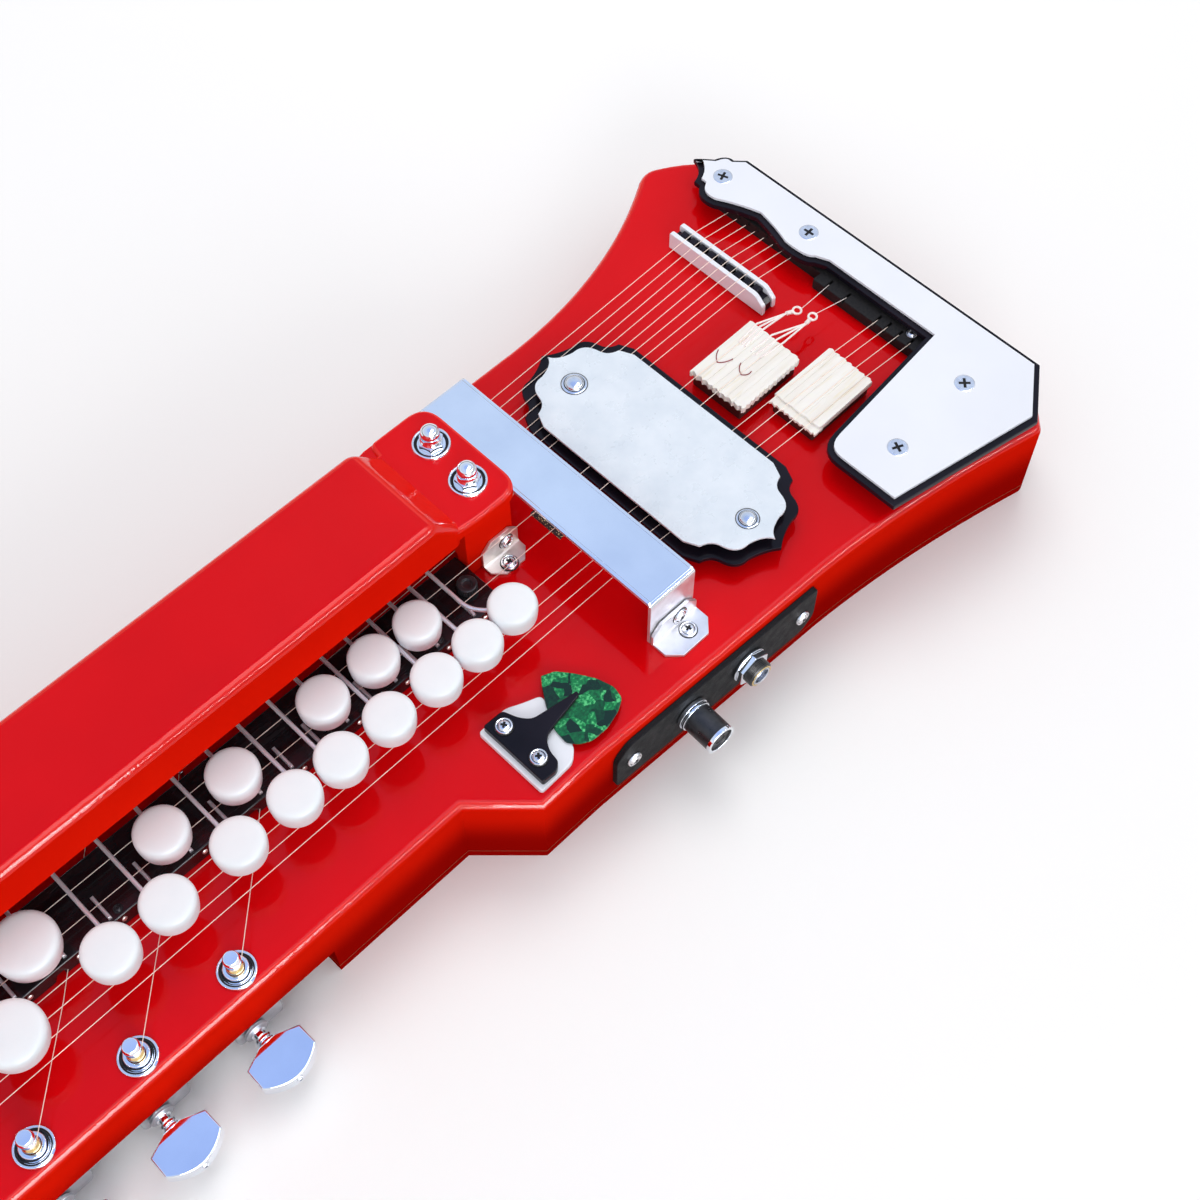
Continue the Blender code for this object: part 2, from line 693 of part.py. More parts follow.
def make_key(n):
    near_row = n % 12 in NEAR_ROW_STEPS
    x = rod_x(n)
    button_x = x + BUTTON_SHIFTS.get(n, 0.0)
    row_y = NEAR_ROW_Y if near_row else FAR_ROW_Y
    route = [(x, PIVOT_Y - EYE_RADIUS + 0.0008, ROD_Z), (x, row_y, ROD_Z)]
    if n == 0:
        row_y = FIRST_BUTTON_Y
        bend = (x, row_y * 0.5)
        turn = arc_between((x, bend[1] + 0.006), bend, (x + BUTTON_SHIFTS[n] * 0.5, bend[1] - 0.0045), 3)
        route = [route[0], (x, bend[1] + 0.006, ROD_Z), *((a, b, ROD_Z) for a, b in turn)]
        route.append((button_x, row_y, ROD_Z))
    name = f"key_{n + 1:02d}"
    base = (button_x, row_y, ROD_Z)
    key = turned(name, button_profile(button_radius(n)), base, segments=16, finish=BUTTON_WHITE)
    rod = tube("rod", route, ROD_RADIUS)
    half = EYE_WIDTH / 2
    eye = cylinder("eye", (x - half, PIVOT_Y, ROD_Z), (x + half, PIVOT_Y, ROD_Z), EYE_RADIUS, 10)
    bore = cylinder("eye_bore", (x - EYE_WIDTH, PIVOT_Y, ROD_Z), (x + EYE_WIDTH, PIVOT_Y, ROD_Z),
                    PIVOT_RADIUS + TURN_GAP, 10)
    join(key, rod, eye)
    cut(key, bore)
    for piece in (key, rod, eye, bore):
        set_origin(piece, (x, PIVOT_Y, ROD_Z))
    return key


def tube(name, route, radius, finish=None):
    """A round bar along a route, as a mesh with welded caps."""
    curve = bpy.data.curves.new(name, "CURVE")
    curve.dimensions = "3D"
    curve.bevel_depth = radius
    curve.bevel_resolution = 1
    curve.use_fill_caps = True
    spline = curve.splines.new("POLY")
    spline.points.add(len(route) - 1)
    for point, place in zip(spline.points, route):
        point.co = (*place, 1)
    guide = bpy.data.objects.new(name, curve)
    CUTTERS.objects.link(guide)
    form = bmesh.new()
    form.from_mesh(evaluated_mesh(guide))
    bpy.data.objects.remove(guide)
    bmesh.ops.remove_doubles(form, verts=form.verts, dist=0.00001)
    bmesh.ops.recalc_face_normals(form, faces=form.faces)
    return new_object(name, mesh_of(form), finish)


# Hand rest

def cut_corner_plate(x_range, low, high, corner):
    """An outline with its two outer corners cut off."""
    left, right = x_range
    return [(left, low), (right, low), (right, high - corner), (right - corner, high), (left + corner, high),
            (left, high - corner)]


def make_hand_rest():
    left, right = REST_X
    near, far = REST_Y
    foot = DECK_Z + SEAT_GAP
    top = DECK_Z + REST_HEIGHT
    rest = box("hand_rest", (left, near, foot), (right, far, top), CHROME)
    cut(rest, box("rest_arch", (left - 0.01, near + REST_SHEET, foot - 0.01),
                  (right + 0.01, far - REST_SHEET, top - REST_SHEET)))
    for side, wall in ((-1, near), (1, far)):
        rim = sorted((wall - side * REST_SHEET / 2, wall + side * REST_ANGLE_FOOT))
        outline = cut_corner_plate(REST_X, 0.0, rim[1] - rim[0], REST_ANGLE_CORNER)
        if side > 0:
            outline = [(x, rim[0] + y) for x, y in outline]
        else:
            outline = [(x, rim[1] - y) for x, y in reversed(outline)]
        sole = plate("angle_foot", [outline], foot, foot + REST_SHEET)
        outline = cut_corner_plate(REST_X, 0.0, REST_ANGLE_LEG, REST_ANGLE_CORNER)
        leg = plate("angle_leg", [outline], 0.0, REST_SHEET)
        leg.data.transform(Matrix.Rotation(math.radians(90), 4, "X"))
        edge = wall + side * REST_SHEET * 0.8 + (REST_SHEET / 2)
        leg.data.transform(Matrix.Translation((0, edge, foot)))
        join(rest, sole, leg)
    return rest


# Name plate

def bracket_outline(centre, half_width, half_length, grow):
    """A long plate whose ends are bracket shapes: a small cusp, then two round lobes to a point."""
    wide, long = half_width + grow, half_length + grow
    lobe, end = half_width / 25, 0.001
    quarter = [(wide, 0.0), (wide, long - 23.5 * end), (wide - 2.8 * lobe, long - 17.5 * end)]
    for control, after, steps in (
        ((7.5, 16.5), (8.5, 12.5), 2),
        ((10.0, 5.0), (16.5, 5.5), 3),
    ):
        (a, b), (c, d) = control, after
        quarter += arc_between(
            quarter[-1], (wide - a * lobe, long - b * end), (wide - c * lobe, long - d * end), steps
        )
    quarter += arc_between(quarter[-1], (wide - 23.5 * lobe, long - 4.0 * end), (0.0, long), 3)
    upper = quarter + [(-x, y) for x, y in reversed(quarter[:-1])]
    lower = [(-x, -y) for x, y in upper[1:-1]]
    return [(centre[0] + x, centre[1] + y) for x, y in upper + lower]


def make_name_base():
    top = DECK_Z + NAME_BASE_TOP
    outline = bracket_outline(NAME_CENTRE, NAME_HALF_WIDTH, NAME_HALF_LENGTH, NAME_BORDER)
    base = plate("name_plate_base", [outline], top - NAME_BASE_THICKNESS, top, BLACK_GLOSS)
    under = DECK_Z + NAME_PLATE_TOP - NAME_PLATE_THICKNESS - SEAT_GAP
    for x, y in NAME_SCREWS:
        join(base, cylinder("post", (x, y, DECK_Z + SEAT_GAP), (x, y, under), NAME_POST_RADIUS, 10))
    return base


def make_name_plate():
    top = DECK_Z + NAME_PLATE_TOP
    outline = bracket_outline(NAME_PLATE_CENTRE, NAME_HALF_WIDTH, NAME_HALF_LENGTH, 0.0)
    return plate("name_plate", [outline], top - NAME_PLATE_THICKNESS, top, PALE_METAL)


# Tail cover and tailpiece

def tail_cover_outline():
    """An L: a wide block at the near corner and an arm along the end that tapers to a cusped tip."""
    outer, arm, tip = TAIL_OUTER_X, TAIL_ARM_X, TAIL_TIP_Y
    near_left, near_right = TAIL_NEAR_SLOPE_Y
    block, inner = TAIL_BLOCK_X, TAIL_BLOCK_Y
    points = [(block, near_left), (outer - 0.0225, near_right), (outer, near_right + 0.0164)]
    points += [(outer, tip - 0.017), (outer - 0.004, tip - 0.0128)]
    points += arc_between(points[-1], (outer - 0.0035, tip - 0.0085), (outer - 0.0095, tip - 0.0065), 2)
    points += arc_between(points[-1], (outer - 0.0135, tip - 0.0015), (outer - 0.0155, tip), 2)
    points += arc_between(points[-1], (outer - 0.0175, tip - 0.0075), (outer - 0.0248, tip - 0.0092), 2)
    points += [(outer - 0.0250, tip - 0.0125)]
    points += arc_between(points[-1], (outer - 0.0312, tip - 0.0155), (outer - 0.0290, tip - 0.0240), 3)
    points += arc_between(points[-1], (arm - 0.003, tip - 0.033), (arm - 0.0005, tip - 0.0420), 3)
    points += arc_between(points[-1], (arm - 0.002, tip - 0.0510), (arm - 0.0050, tip - 0.0590), 2)
    points += arc_between(points[-1], (arm - 0.006, tip - 0.0720), (arm - 0.0020, tip - 0.0752), 2)
    points += [(arm, tip - 0.0800), (arm, inner + 0.0055), (block + 0.006, inner), (block, inner - 0.006)]
    return points


def inside_outline(points, border):
    """The outline that keeps the border's distance inside another one."""
    form = bmesh.new()
    face = form.faces.new([form.verts.new((x, y, 0)) for x, y in points])
    form.normal_update()
    bmesh.ops.inset_region(form, faces=[face], thickness=border, use_boundary=True, use_even_offset=True)
    inner = [tuple(vert.co.xy) for vert in face.verts]
    form.free()
    return inner


def make_tail_base():
    under = DECK_Z + TAIL_COVER_UNDER
    outline = tail_cover_outline()
    base = plate("tail_cover_base", [outline], under, under + TAIL_BASE_THICKNESS, BLACK_GLOSS)
    for x, y in TAIL_SCREWS:
        join(base, cylinder("post", (x, y, DECK_Z + SEAT_GAP), (x, y, under + TAIL_BASE_THICKNESS / 2),
                            TAIL_POST_RADIUS, 10))
    return base


def make_tail_top():
    under = DECK_Z + TAIL_COVER_UNDER + TAIL_BASE_THICKNESS + SEAT_GAP
    outline = inside_outline(tail_cover_outline(), TAIL_BORDER)
    return plate("tail_cover", [outline], under, under + TAIL_TOP_THICKNESS, WHITE_GLOSS)


def sympathetic_ys():
    """The y of the eight sympathetic strings, from their bridge to the tailpiece."""
    return [SYMPATHETIC_FIRST_Y + i * SYMPATHETIC_PITCH for i in range(8)]


def make_tailpiece():
    left, right = TAILPIECE_X
    foot = DECK_Z + SEAT_GAP
    top = DECK_Z + TAILPIECE_HEIGHT
    piece = box("tailpiece", (left, TAILPIECE_Y[0], foot), (right, TAILPIECE_Y[1], top), BLACK_GLOSS)
    slots = [
        box("slot", (left - 0.001, y - 0.0006, top - 0.0022), (left + 0.0050, y + 0.0006, top + 0.001))
        for y in (*sympathetic_ys(), *MELODY_TAIL_Y, *DRONE_TAIL_Y)
    ]
    return cut(piece, merged("slots", slots))


# Bridges and nut

def make_sympathetic_bridge():
    """A slotted bar with a slot to each side of every string, and a near end that slopes down."""
    (left, right), (near, far) = SYMPATHETIC_BRIDGE
    foot = DECK_Z + SEAT_GAP
    top = DECK_Z + SYMPATHETIC_HEIGHT
    bridge = box("sympathetic_bridge", (left, near, foot), (right, far, top), WHITE_GLOSS)
    first = SYMPATHETIC_FIRST_Y - SYMPATHETIC_PITCH / 2
    slots = [
        box("slot", (left + 0.0022, first + i * SYMPATHETIC_PITCH - 0.0019, top - 0.0022),
            (right - 0.0022, first + i * SYMPATHETIC_PITCH + 0.0019, top + 0.001))
        for i in range(9)
    ]
    along, down = SYMPATHETIC_TIP
    slope = box("tip_slope", (left - 0.01, near - 0.02, top), (right + 0.01, near + along, top + 0.02))
    turn_object(slope, math.atan2(down, along), (0, near + along, top), "X")
    return cut(bridge, merged("slots", slots), slope)


def flat_bridge(name, placing, height):
    """A flat ridged block on a narrower foot, turned a little on the deck."""
    (x, y), (length, width), angle = placing
    foot = DECK_Z + SEAT_GAP
    top = DECK_Z + height
    low = (x - length / 2, y - width / 2, top - 0.0045)
    block = box(name, low, (x + length / 2, y + width / 2, top), IVORY)
    inset = BRIDGE_FOOT_INSET
    base = box("bridge_foot", (x - length / 2 + inset, y - width / 2 + inset, foot),
               (x + length / 2 - inset, y + width / 2 - inset, top - 0.003))
    for piece in (block, base):
        turn_object(piece, math.radians(angle), (x, y, foot))
    with_bevel(block, 0.0006, 1)
    return join(block, base)


def make_nut():
    """A stepped block: the melody strings rest on its high part and the drone strings on its low one."""
    foot = DECK_Z + SEAT_GAP
    low_top = DECK_Z + DRONE_HEIGHT - STRING_ROOM
    high_top = DECK_Z + MELODY_HEIGHT - STRING_ROOM
    step = (MELODY_Y[0] + DRONE_Y[1]) / 2
    left, right = NUT_X - NUT_THICKNESS / 2, NUT_X + NUT_THICKNESS / 2
    nut = box("nut", (left, DRONE_Y[0] - 0.004, foot), (right, MELODY_Y[1] + 0.004, low_top), IVORY)
    return join(nut, box("nut_step", (left, step, foot + 0.001), (right, MELODY_Y[1] + 0.004, high_top)))


# Tuners

def housing(x, wall_y, side):
    """A gear housing under the plate. side is -1 where its knob stands out to the near side."""
    top = LEDGE_Z - SEAT_GAP - TUNER_PLATE / 2
    centre_x = x - WORM_OFFSET / 2
    outer = wall_y - side * 0.0015
    near, far = sorted((outer, outer - side * HOUSING_WIDTH))
    return box("housing", (centre_x - HOUSING_LENGTH / 2, near, top - HOUSING_HEIGHT),
               (centre_x + HOUSING_LENGTH / 2, far, top))


def post_profile():
    """From the rounded cap down past the waist, the bushing and the washer to the gear housing."""
    deck = DECK_Z - LEDGE_Z
    tall = deck + POST_HEIGHT
    waist = POST_RADIUS * 0.74
    return [(0, tall), (POST_RADIUS * 0.9, tall - 0.0008), (POST_RADIUS, tall - 0.0040),
            (waist, tall - 0.0056), (POST_RADIUS, tall - 0.0074), (POST_RADIUS, deck + 0.0040),
            (BUSHING_RADIUS, deck + 0.0040), (BUSHING_RADIUS, deck + 0.0012),
            (WASHER_RADIUS, deck + 0.0012), (WASHER_RADIUS, deck + SEAT_GAP),
            (POST_RADIUS, deck + SEAT_GAP), (POST_RADIUS, -0.003), (0, -0.003)]


def shaft_hole(x, edge_y, side):
    """The bore that a worm shaft turns in."""
    start = (x - WORM_OFFSET, edge_y + side * 0.003, SHAFT_HEIGHT)
    end = (x - WORM_OFFSET, edge_y - side * 0.0125, SHAFT_HEIGHT)
    return cylinder("shaft_bore", start, end, SHAFT_RADIUS + TURN_GAP, 10)


def tuner_set(name, strip_low, strip_high, rows):
    """A plate under the ledge with a gear housing and a post for every string."""
    top = LEDGE_Z - SEAT_GAP
    strip = box(name, (*strip_low, top - TUNER_PLATE), (*strip_high, top), STEEL)
    housings, posts, bores = [], [], []
    for row, edge, side in rows:
        for x, y in row:
            housings.append(housing(x, edge, side))
            posts.append(turned("post", post_profile(), (x, y, LEDGE_Z), segments=10))
            bores.append(shaft_hole(x, edge, side))
    join(strip, merged("housings", housings), merged("posts", posts))
    return cut(strip, merged("bores", bores))


def make_side_tuners():
    posts = side_tuner_posts()
    low_x = posts[-1][0] - HOUSING_LENGTH * 0.75
    high_x = posts[0][0] + HOUSING_LENGTH * 0.60
    low = (low_x, NECK_NEAR_Y + 0.0012)
    high = (high_x, NECK_NEAR_Y + LEDGE_DEPTH - 0.001)
    return tuner_set("side_tuner_plate", low, high, [(posts, NECK_NEAR_Y, -1)])


def make_head_tuners():
    near, far = head_tuner_posts(-1), head_tuner_posts(1)
    low = (near[0][0] - HOUSING_LENGTH * 0.75, NECK_NEAR_Y + 0.0012)
    high = (min(near[-1][0] + HOUSING_LENGTH * 0.75, LOWER_LEFT_X - 0.0005), NECK_FAR_Y - 0.0012)
    return tuner_set("head_tuner_plate", low, high, [(near, NECK_NEAR_Y, -1), (far, NECK_FAR_Y, 1)])


def make_knob(name, x, edge, side):
    """A flat six-sided knob on its collared shaft, which turns in the gear housing."""
    centre_x = x - WORM_OFFSET
    inner = edge + side * KNOB_FROM_EDGE
    half_w, length = KNOB_WIDTH / 2, KNOB_LENGTH
    outline = [(-half_w * 0.42, 0), (half_w * 0.42, 0), (half_w * 0.98, length * 0.27),
               (half_w, length * 0.62), (half_w * 0.36, length), (-half_w * 0.36, length),
               (-half_w, length * 0.62), (-half_w * 0.98, length * 0.27)]
    points = [(centre_x + px, inner + side * py) for px, py in (outline if side > 0 else reversed(outline))]
    half = KNOB_THICKNESS / 2
    knob = plate(name, [points], SHAFT_HEIGHT - half, SHAFT_HEIGHT + half, CHROME)
    with_bevel(knob, 0.0010, 1, 50)
    stem_start = (centre_x, edge - side * 0.0120, SHAFT_HEIGHT)
    collar = SHAFT_RADIUS + 0.0011
    reach = 0.0120 + KNOB_FROM_EDGE
    profile = [(0, reach + 0.002), (SHAFT_RADIUS, reach + 0.002), (collar, reach - 0.0003),
               (collar, reach - 0.0030), (SHAFT_RADIUS, reach - 0.0034), (SHAFT_RADIUS, 0), (0, 0)]
    stem = turned("stem", profile, stem_start, (0, side, 0), segments=8)
    join(knob, stem)
    for piece in (knob, stem):
        set_origin(piece, (centre_x, edge, SHAFT_HEIGHT))
    return knob


def make_knobs():
    for i, (x, _) in enumerate(side_tuner_posts()):
        make_knob(f"side_knob_{i + 1}", x, NECK_NEAR_Y, -1)
    for i, (x, _) in enumerate(head_tuner_posts(-1)):
        make_knob(f"head_knob_{i + 1}", x, NECK_NEAR_Y, -1)
    for i, (x, _) in enumerate(head_tuner_posts(1)):
        make_knob(f"head_knob_{i + 4}", x, NECK_FAR_Y, 1)


# Controls

def make_jack_plate():
    """The plate, with the bushing and the case of the volume control behind it."""
    half, tall = PLATE_LENGTH / 2, PLATE_HEIGHT
    cut_off = 0.006
    lower = [(-half, -tall / 2, 0.002), (half - cut_off, -tall / 2, 0.003),
             (half, -tall / 2 + cut_off, 0.003)]
    outline = rounded(lower + [(-x, -y, radius) for x, y, radius in lower], 2)
    centre_x = (VOLUME_X + JACK_X) / 2
    reach = (JACK_X - VOLUME_X) / 2 / math.cos(math.atan(CONTROLS_SLOPE))
    holes = [circle((-reach, 0), VOLUME_STEM_RADIUS + TURN_GAP, 12),
             circle((reach, 0), JACK_BARREL_RADIUS + SEAT_GAP, 12)]
    sheet = plate("jack_plate", [outline] + holes, 0.0, PLATE_THICKNESS, DARK_PLATE)
    sheet.data.transform(Matrix.Rotation(math.radians(90), 4, "X"))
    sheet.data.transform(Matrix.Rotation(math.atan(CONTROLS_SLOPE), 4, "Z"))
    sheet.data.transform(Matrix.Translation(control_point(centre_x, SEAT_GAP)))
    back = control_point(VOLUME_X, -SIDE_WALL - 0.001)
    case = cylinder("pot_case", back, control_point(VOLUME_X, -SIDE_WALL - 0.009), 0.008, 16)
    bushing = cylinder("pot_bushing", control_point(VOLUME_X, SEAT_GAP + 0.001),
                       control_point(VOLUME_X, -SIDE_WALL - 0.002), VOLUME_STEM_RADIUS + 0.0016, 12)
    bore = cylinder("stem_bore", control_point(VOLUME_X, 0.01), control_point(VOLUME_X, -SIDE_WALL - 0.004),
                    VOLUME_STEM_RADIUS + TURN_GAP, 12)
    join(sheet, case, bushing)
    return cut(sheet, bore)


def make_volume_knob():
    face = SEAT_GAP * 2 + PLATE_THICKNESS
    base = control_point(VOLUME_X, face)
    long = VOLUME_LENGTH
    r = VOLUME_RADIUS
    stem = face + SIDE_WALL + 0.003
    profile = [(0, long), (r * 0.45, long), (r * 0.93, long - 0.0003), (r, long - 0.0012), (r, 0.0030),
               (r + 0.0006, 0.0025), (r + 0.0006, 0.0), (VOLUME_STEM_RADIUS, 0.0),
               (VOLUME_STEM_RADIUS, -stem), (0, -stem)]
    knob = turned("volume_knob", profile, base, -control_direction(), segments=20, finish=BLACK_GLOSS)
    set_origin(knob, control_point(VOLUME_X, 0.0))
    return knob


def make_jack():
    face = SEAT_GAP * 2 + PLATE_THICKNESS
    base = control_point(JACK_X, face)
    nut_top = control_point(JACK_X, face + JACK_NUT_THICKNESS)
    jack = cylinder("output_jack", base, nut_top, JACK_NUT_RADIUS, 6, CHROME)
    back = control_point(JACK_X, -SIDE_WALL - 0.012)
    barrel = cylinder("barrel", back, control_point(JACK_X, JACK_STAND_OFF), JACK_BARREL_RADIUS, 16)
    bore_end = control_point(JACK_X, -SIDE_WALL - 0.010)
    bore = cylinder("plug_bore", bore_end, control_point(JACK_X, 0.02), JACK_HOLE_RADIUS, 12)
    join(jack, barrel)
    return cut(jack, bore)


# Pick and holder

def make_pick_holder():
    near, far = HOLDER_Y
    middle = (near + far) / 2
    foot = DECK_Z + SEAT_GAP
    top = foot + HOLDER_THICKNESS
    right = HOLDER_X + 0.0245
    outline = rounded([(HOLDER_X, near, 0.0018), (right - 0.005, near, 0.004), (right, near + 0.006, 0.003),
                       (right - 0.003, middle, 0.004), (right + 0.003, far - 0.004, 0.002),
                       (right - 0.004, far, 0.003), (HOLDER_X + 0.010, far, 0.004),
                       (HOLDER_X, far - 0.001, 0.0018)], 2)
    holder = plate("pick_holder", [outline], foot, top, WHITE_GLOSS)
    clip_top = top + CLIP_THICKNESS + PICK_THICKNESS + SEAT_GAP
    arm_near, arm_far = middle + 0.0005, middle + 0.0065
    left = HOLDER_X + 0.0035
    clip_outline = rounded([(left, near + 0.0030, 0.002), (left + 0.0095, near + 0.0030, 0.004),
                            (left + 0.0125, middle - 0.001, 0.005), (left + 0.0270, arm_near, 0.002),
                            (left + 0.0270, arm_far, 0.002), (left + 0.0125, middle + 0.0085, 0.005),
                            (left + 0.0095, far - 0.0025, 0.004), (left, far - 0.0025, 0.002)], 2)
    clip = plate("pick_clip", [clip_outline], top - 0.0005, clip_top)
    room = box("pick_room", (PICK_CENTRE[0] - PICK_RADIUS - 0.001, near - 0.01, top),
               (PICK_CENTRE[0] + 0.03, far + 0.01, top + PICK_THICKNESS + 2 * SEAT_GAP))
    cut(clip, room)
    return join(holder, clip)


def make_pick():
    """A rounded triangle, point downwards and to the far side."""
    foot = DECK_Z + 2 * SEAT_GAP + HOLDER_THICKNESS
    x, y = PICK_CENTRE
    corners = []
    for angle, reach in ((200, 0.95), (88, 1.22), (-28, 1.0)):
        turn = math.radians(angle)
        out = reach * PICK_RADIUS * 1.25
        corners.append((x + out * math.cos(turn), y + out * math.sin(turn)))
    ring = []
    for i, here in enumerate(corners):
        after = corners[(i + 1) % 3]
        before = corners[i - 1]
        start = tuple(a + (b - a) * 0.36 for a, b in zip(here, before))
        end = tuple(a + (b - a) * 0.36 for a, b in zip(here, after))
        ring.append(start)
        ring += arc_between(start, here, end, 5)
    return plate("pick", [ring], foot, foot + PICK_THICKNESS, GREEN_PEARL)


make_body()
make_bottom_board()
make_cover()
make_key_rail()
make_fretboard()
make_hand_rest()
make_name_base()
make_name_plate()
make_tail_base()
make_tail_top()
make_tailpiece()
make_sympathetic_bridge()
flat_bridge("melody_bridge", MELODY_BRIDGE, MELODY_HEIGHT - STRING_ROOM)
flat_bridge("drone_bridge", DRONE_BRIDGE, DRONE_BRIDGE_HEIGHT - STRING_ROOM)
make_nut()
make_side_tuners()
make_head_tuners()
make_knobs()
make_jack_plate()
make_volume_knob()
make_jack()
make_pick_holder()
make_pick()
for key_number in range(KEY_COUNT):
    make_key(key_number)
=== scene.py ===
import math
import random

import bmesh
import bpy
from mathutils import Matrix, Vector


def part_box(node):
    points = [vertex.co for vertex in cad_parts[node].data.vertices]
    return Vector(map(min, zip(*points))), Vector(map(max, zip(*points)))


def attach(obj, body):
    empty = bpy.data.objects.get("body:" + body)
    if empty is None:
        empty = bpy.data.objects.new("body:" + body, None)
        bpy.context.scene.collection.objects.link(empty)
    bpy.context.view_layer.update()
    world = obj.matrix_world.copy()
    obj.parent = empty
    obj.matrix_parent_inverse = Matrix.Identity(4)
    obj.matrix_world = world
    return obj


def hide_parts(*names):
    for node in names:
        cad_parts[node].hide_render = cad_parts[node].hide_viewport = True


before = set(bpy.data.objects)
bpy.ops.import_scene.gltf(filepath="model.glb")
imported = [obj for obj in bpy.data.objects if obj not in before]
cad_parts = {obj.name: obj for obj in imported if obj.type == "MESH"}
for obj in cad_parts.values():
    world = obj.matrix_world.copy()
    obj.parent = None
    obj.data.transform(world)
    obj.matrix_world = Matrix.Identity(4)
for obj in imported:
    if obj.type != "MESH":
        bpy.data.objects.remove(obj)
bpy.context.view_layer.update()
random.seed(11)
print("Frame loaded:", len(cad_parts), "nodes")

deckZ = 0.042  # top of the box; "high" in the dictionaries is counted from it
seat = 0.0003  # gap between pieces that touch
bridgeX = 0.3364
firstFret = 0.1464
nutX = bridgeX - firstFret * 4
keyCount = 24


# Shapes that the pieces share

def pour(form, part, place=None):
    # adds one shape to another, moved by a matrix
    if place is not None:
        bmesh.ops.transform(part, matrix=place, verts=part.verts)
    mesh = bpy.data.meshes.new("part")
    part.to_mesh(mesh)
    part.free()
    form.from_mesh(mesh)
    bpy.data.meshes.remove(mesh)
    return form


def combine(form, other, operation="DIFFERENCE"):
    shapes = []
    for shape in (form, other):
        mesh = bpy.data.meshes.new("shape")
        shape.to_mesh(mesh)
        shape.free()
        shapes.append(bpy.data.objects.new("shape", mesh))
        bpy.context.scene.collection.objects.link(shapes[-1])
    step = shapes[0].modifiers.new("combine", "BOOLEAN")
    step.operation = operation
    step.object = shapes[1]
    step.solver = "EXACT"
    bpy.context.view_layer.update()
    result = bmesh.new()
    result.from_object(shapes[0], bpy.context.evaluated_depsgraph_get())
    if not result.faces:
        raise ValueError("nothing left after " + operation)
    for shape in shapes:
        mesh = shape.data
        bpy.data.objects.remove(shape)
        bpy.data.meshes.remove(mesh)
    return result


def roundOff(form, edges, width, steps=3):
    bmesh.ops.bevel(
        form, geom=edges, offset=width, segments=steps, profile=0.5, affect="EDGES", clamp_overlap=True, material=-1
    )


def edgesAt(form, height):
    return [edge for edge in form.edges if all(abs(v.co.z - height) < 1e-6 for v in edge.verts)]


def sharpEdges(form, degrees=40):
    return [edge for edge in form.edges if len(edge.link_faces) == 2 and edge.calc_face_angle() > math.radians(degrees)]


def block(low, high, rounding=0.0, steps=3, only="all"):
    low, high = Vector(low), Vector(high)
    form = bmesh.new()
    bmesh.ops.create_cube(form, size=1.0)
    bmesh.ops.scale(form, vec=high - low, verts=form.verts)
    bmesh.ops.translate(form, vec=(high + low) / 2, verts=form.verts)
    if rounding:
        foot = edgesAt(form, low.z)
        chosen = {"all": form.edges[:], "top": edgesAt(form, high.z), "notFoot": [e for e in form.edges if e not in foot]}
        roundOff(form, chosen[only], rounding, steps)
    return form


def arcBetween(start, control, end, steps):
    found = []
    for i in range(1, steps + 1):
        t = i / steps
        found.append(tuple((1 - t) ** 2 * a + 2 * t * (1 - t) * b + t * t * c for a, b, c in zip(start, control, end)))
    return found


def rounded(corners, steps=5, closed=True):
    # corners are (x, y, radius)
    found = []
    for i, (x, y, radius) in enumerate(corners):
        if not radius or (not closed and i in (0, len(corners) - 1)):
            found.append((x, y))
            continue
        here = Vector((x, y))
        start = here + (Vector(corners[i - 1][:2]) - here).normalized() * radius
        end = here + (Vector(corners[(i + 1) % len(corners)][:2]) - here).normalized() * radius
        found.append(tuple(start))
        found += arcBetween(start, here, end, steps)
    return found


def bent(points, radius, steps=5):
    # a route of straight runs with rounded bends
    points = [Vector(point) for point in points]
    found = [tuple(points[0])]
    for before, here, after in zip(points, points[1:], points[2:]):
        reach = min(radius, (here - before).length * 0.45, (after - here).length * 0.45)
        start = here + (before - here).normalized() * reach
        end = here + (after - here).normalized() * reach
        found.append(tuple(start))
        found += arcBetween(start, here, end, steps)
    return found + [tuple(points[-1])]


def sheet(outline, low, high, rim=0.0, foot=0.0, steps=3):
    form = bmesh.new()
    face = form.faces.new([form.verts.new((x, y, low)) for x, y in outline])
    raised = bmesh.ops.extrude_face_region(form, geom=[face])["geom"]
    bmesh.ops.translate(form, vec=(0, 0, high - low), verts=[v for v in raised if isinstance(v, bmesh.types.BMVert)])
    bmesh.ops.recalc_face_normals(form, faces=form.faces)
    for height, width in ((high, rim), (low, foot)):
        if width:
            roundOff(form, edgesAt(form, height), width, steps)
    return form


def turned(profile, steps=32):
    form = bmesh.new()
    line = [form.verts.new((radius, 0, height)) for radius, height in profile]
    geom = line + [form.edges.new(pair) for pair in zip(line, line[1:])]
    bmesh.ops.spin(form, geom=geom, cent=(0, 0, 0), axis=(0, 0, 1), angle=math.tau, steps=steps, use_merge=True)
    bmesh.ops.remove_doubles(form, verts=form.verts, dist=1e-7)
    bmesh.ops.recalc_face_normals(form, faces=form.faces)
    return form


def ring(inner, outer, low, high, soft=0.0003, steps=32):
    corners = [(inner, low, soft), (outer, low, soft), (outer, high, soft), (inner, high, soft)]
    profile = rounded(corners, 3)
    return turned(profile + profile[:1], steps)


def hexagon(radius, low, high, soft=0.0003):
    form = bmesh.new()
    bmesh.ops.create_cone(form, cap_ends=True, segments=6, radius1=radius, radius2=radius, depth=high - low)
    bmesh.ops.translate(form, vec=(0, 0, (low + high) / 2), verts=form.verts)
    roundOff(form, form.edges[:], soft, 2)
    return form


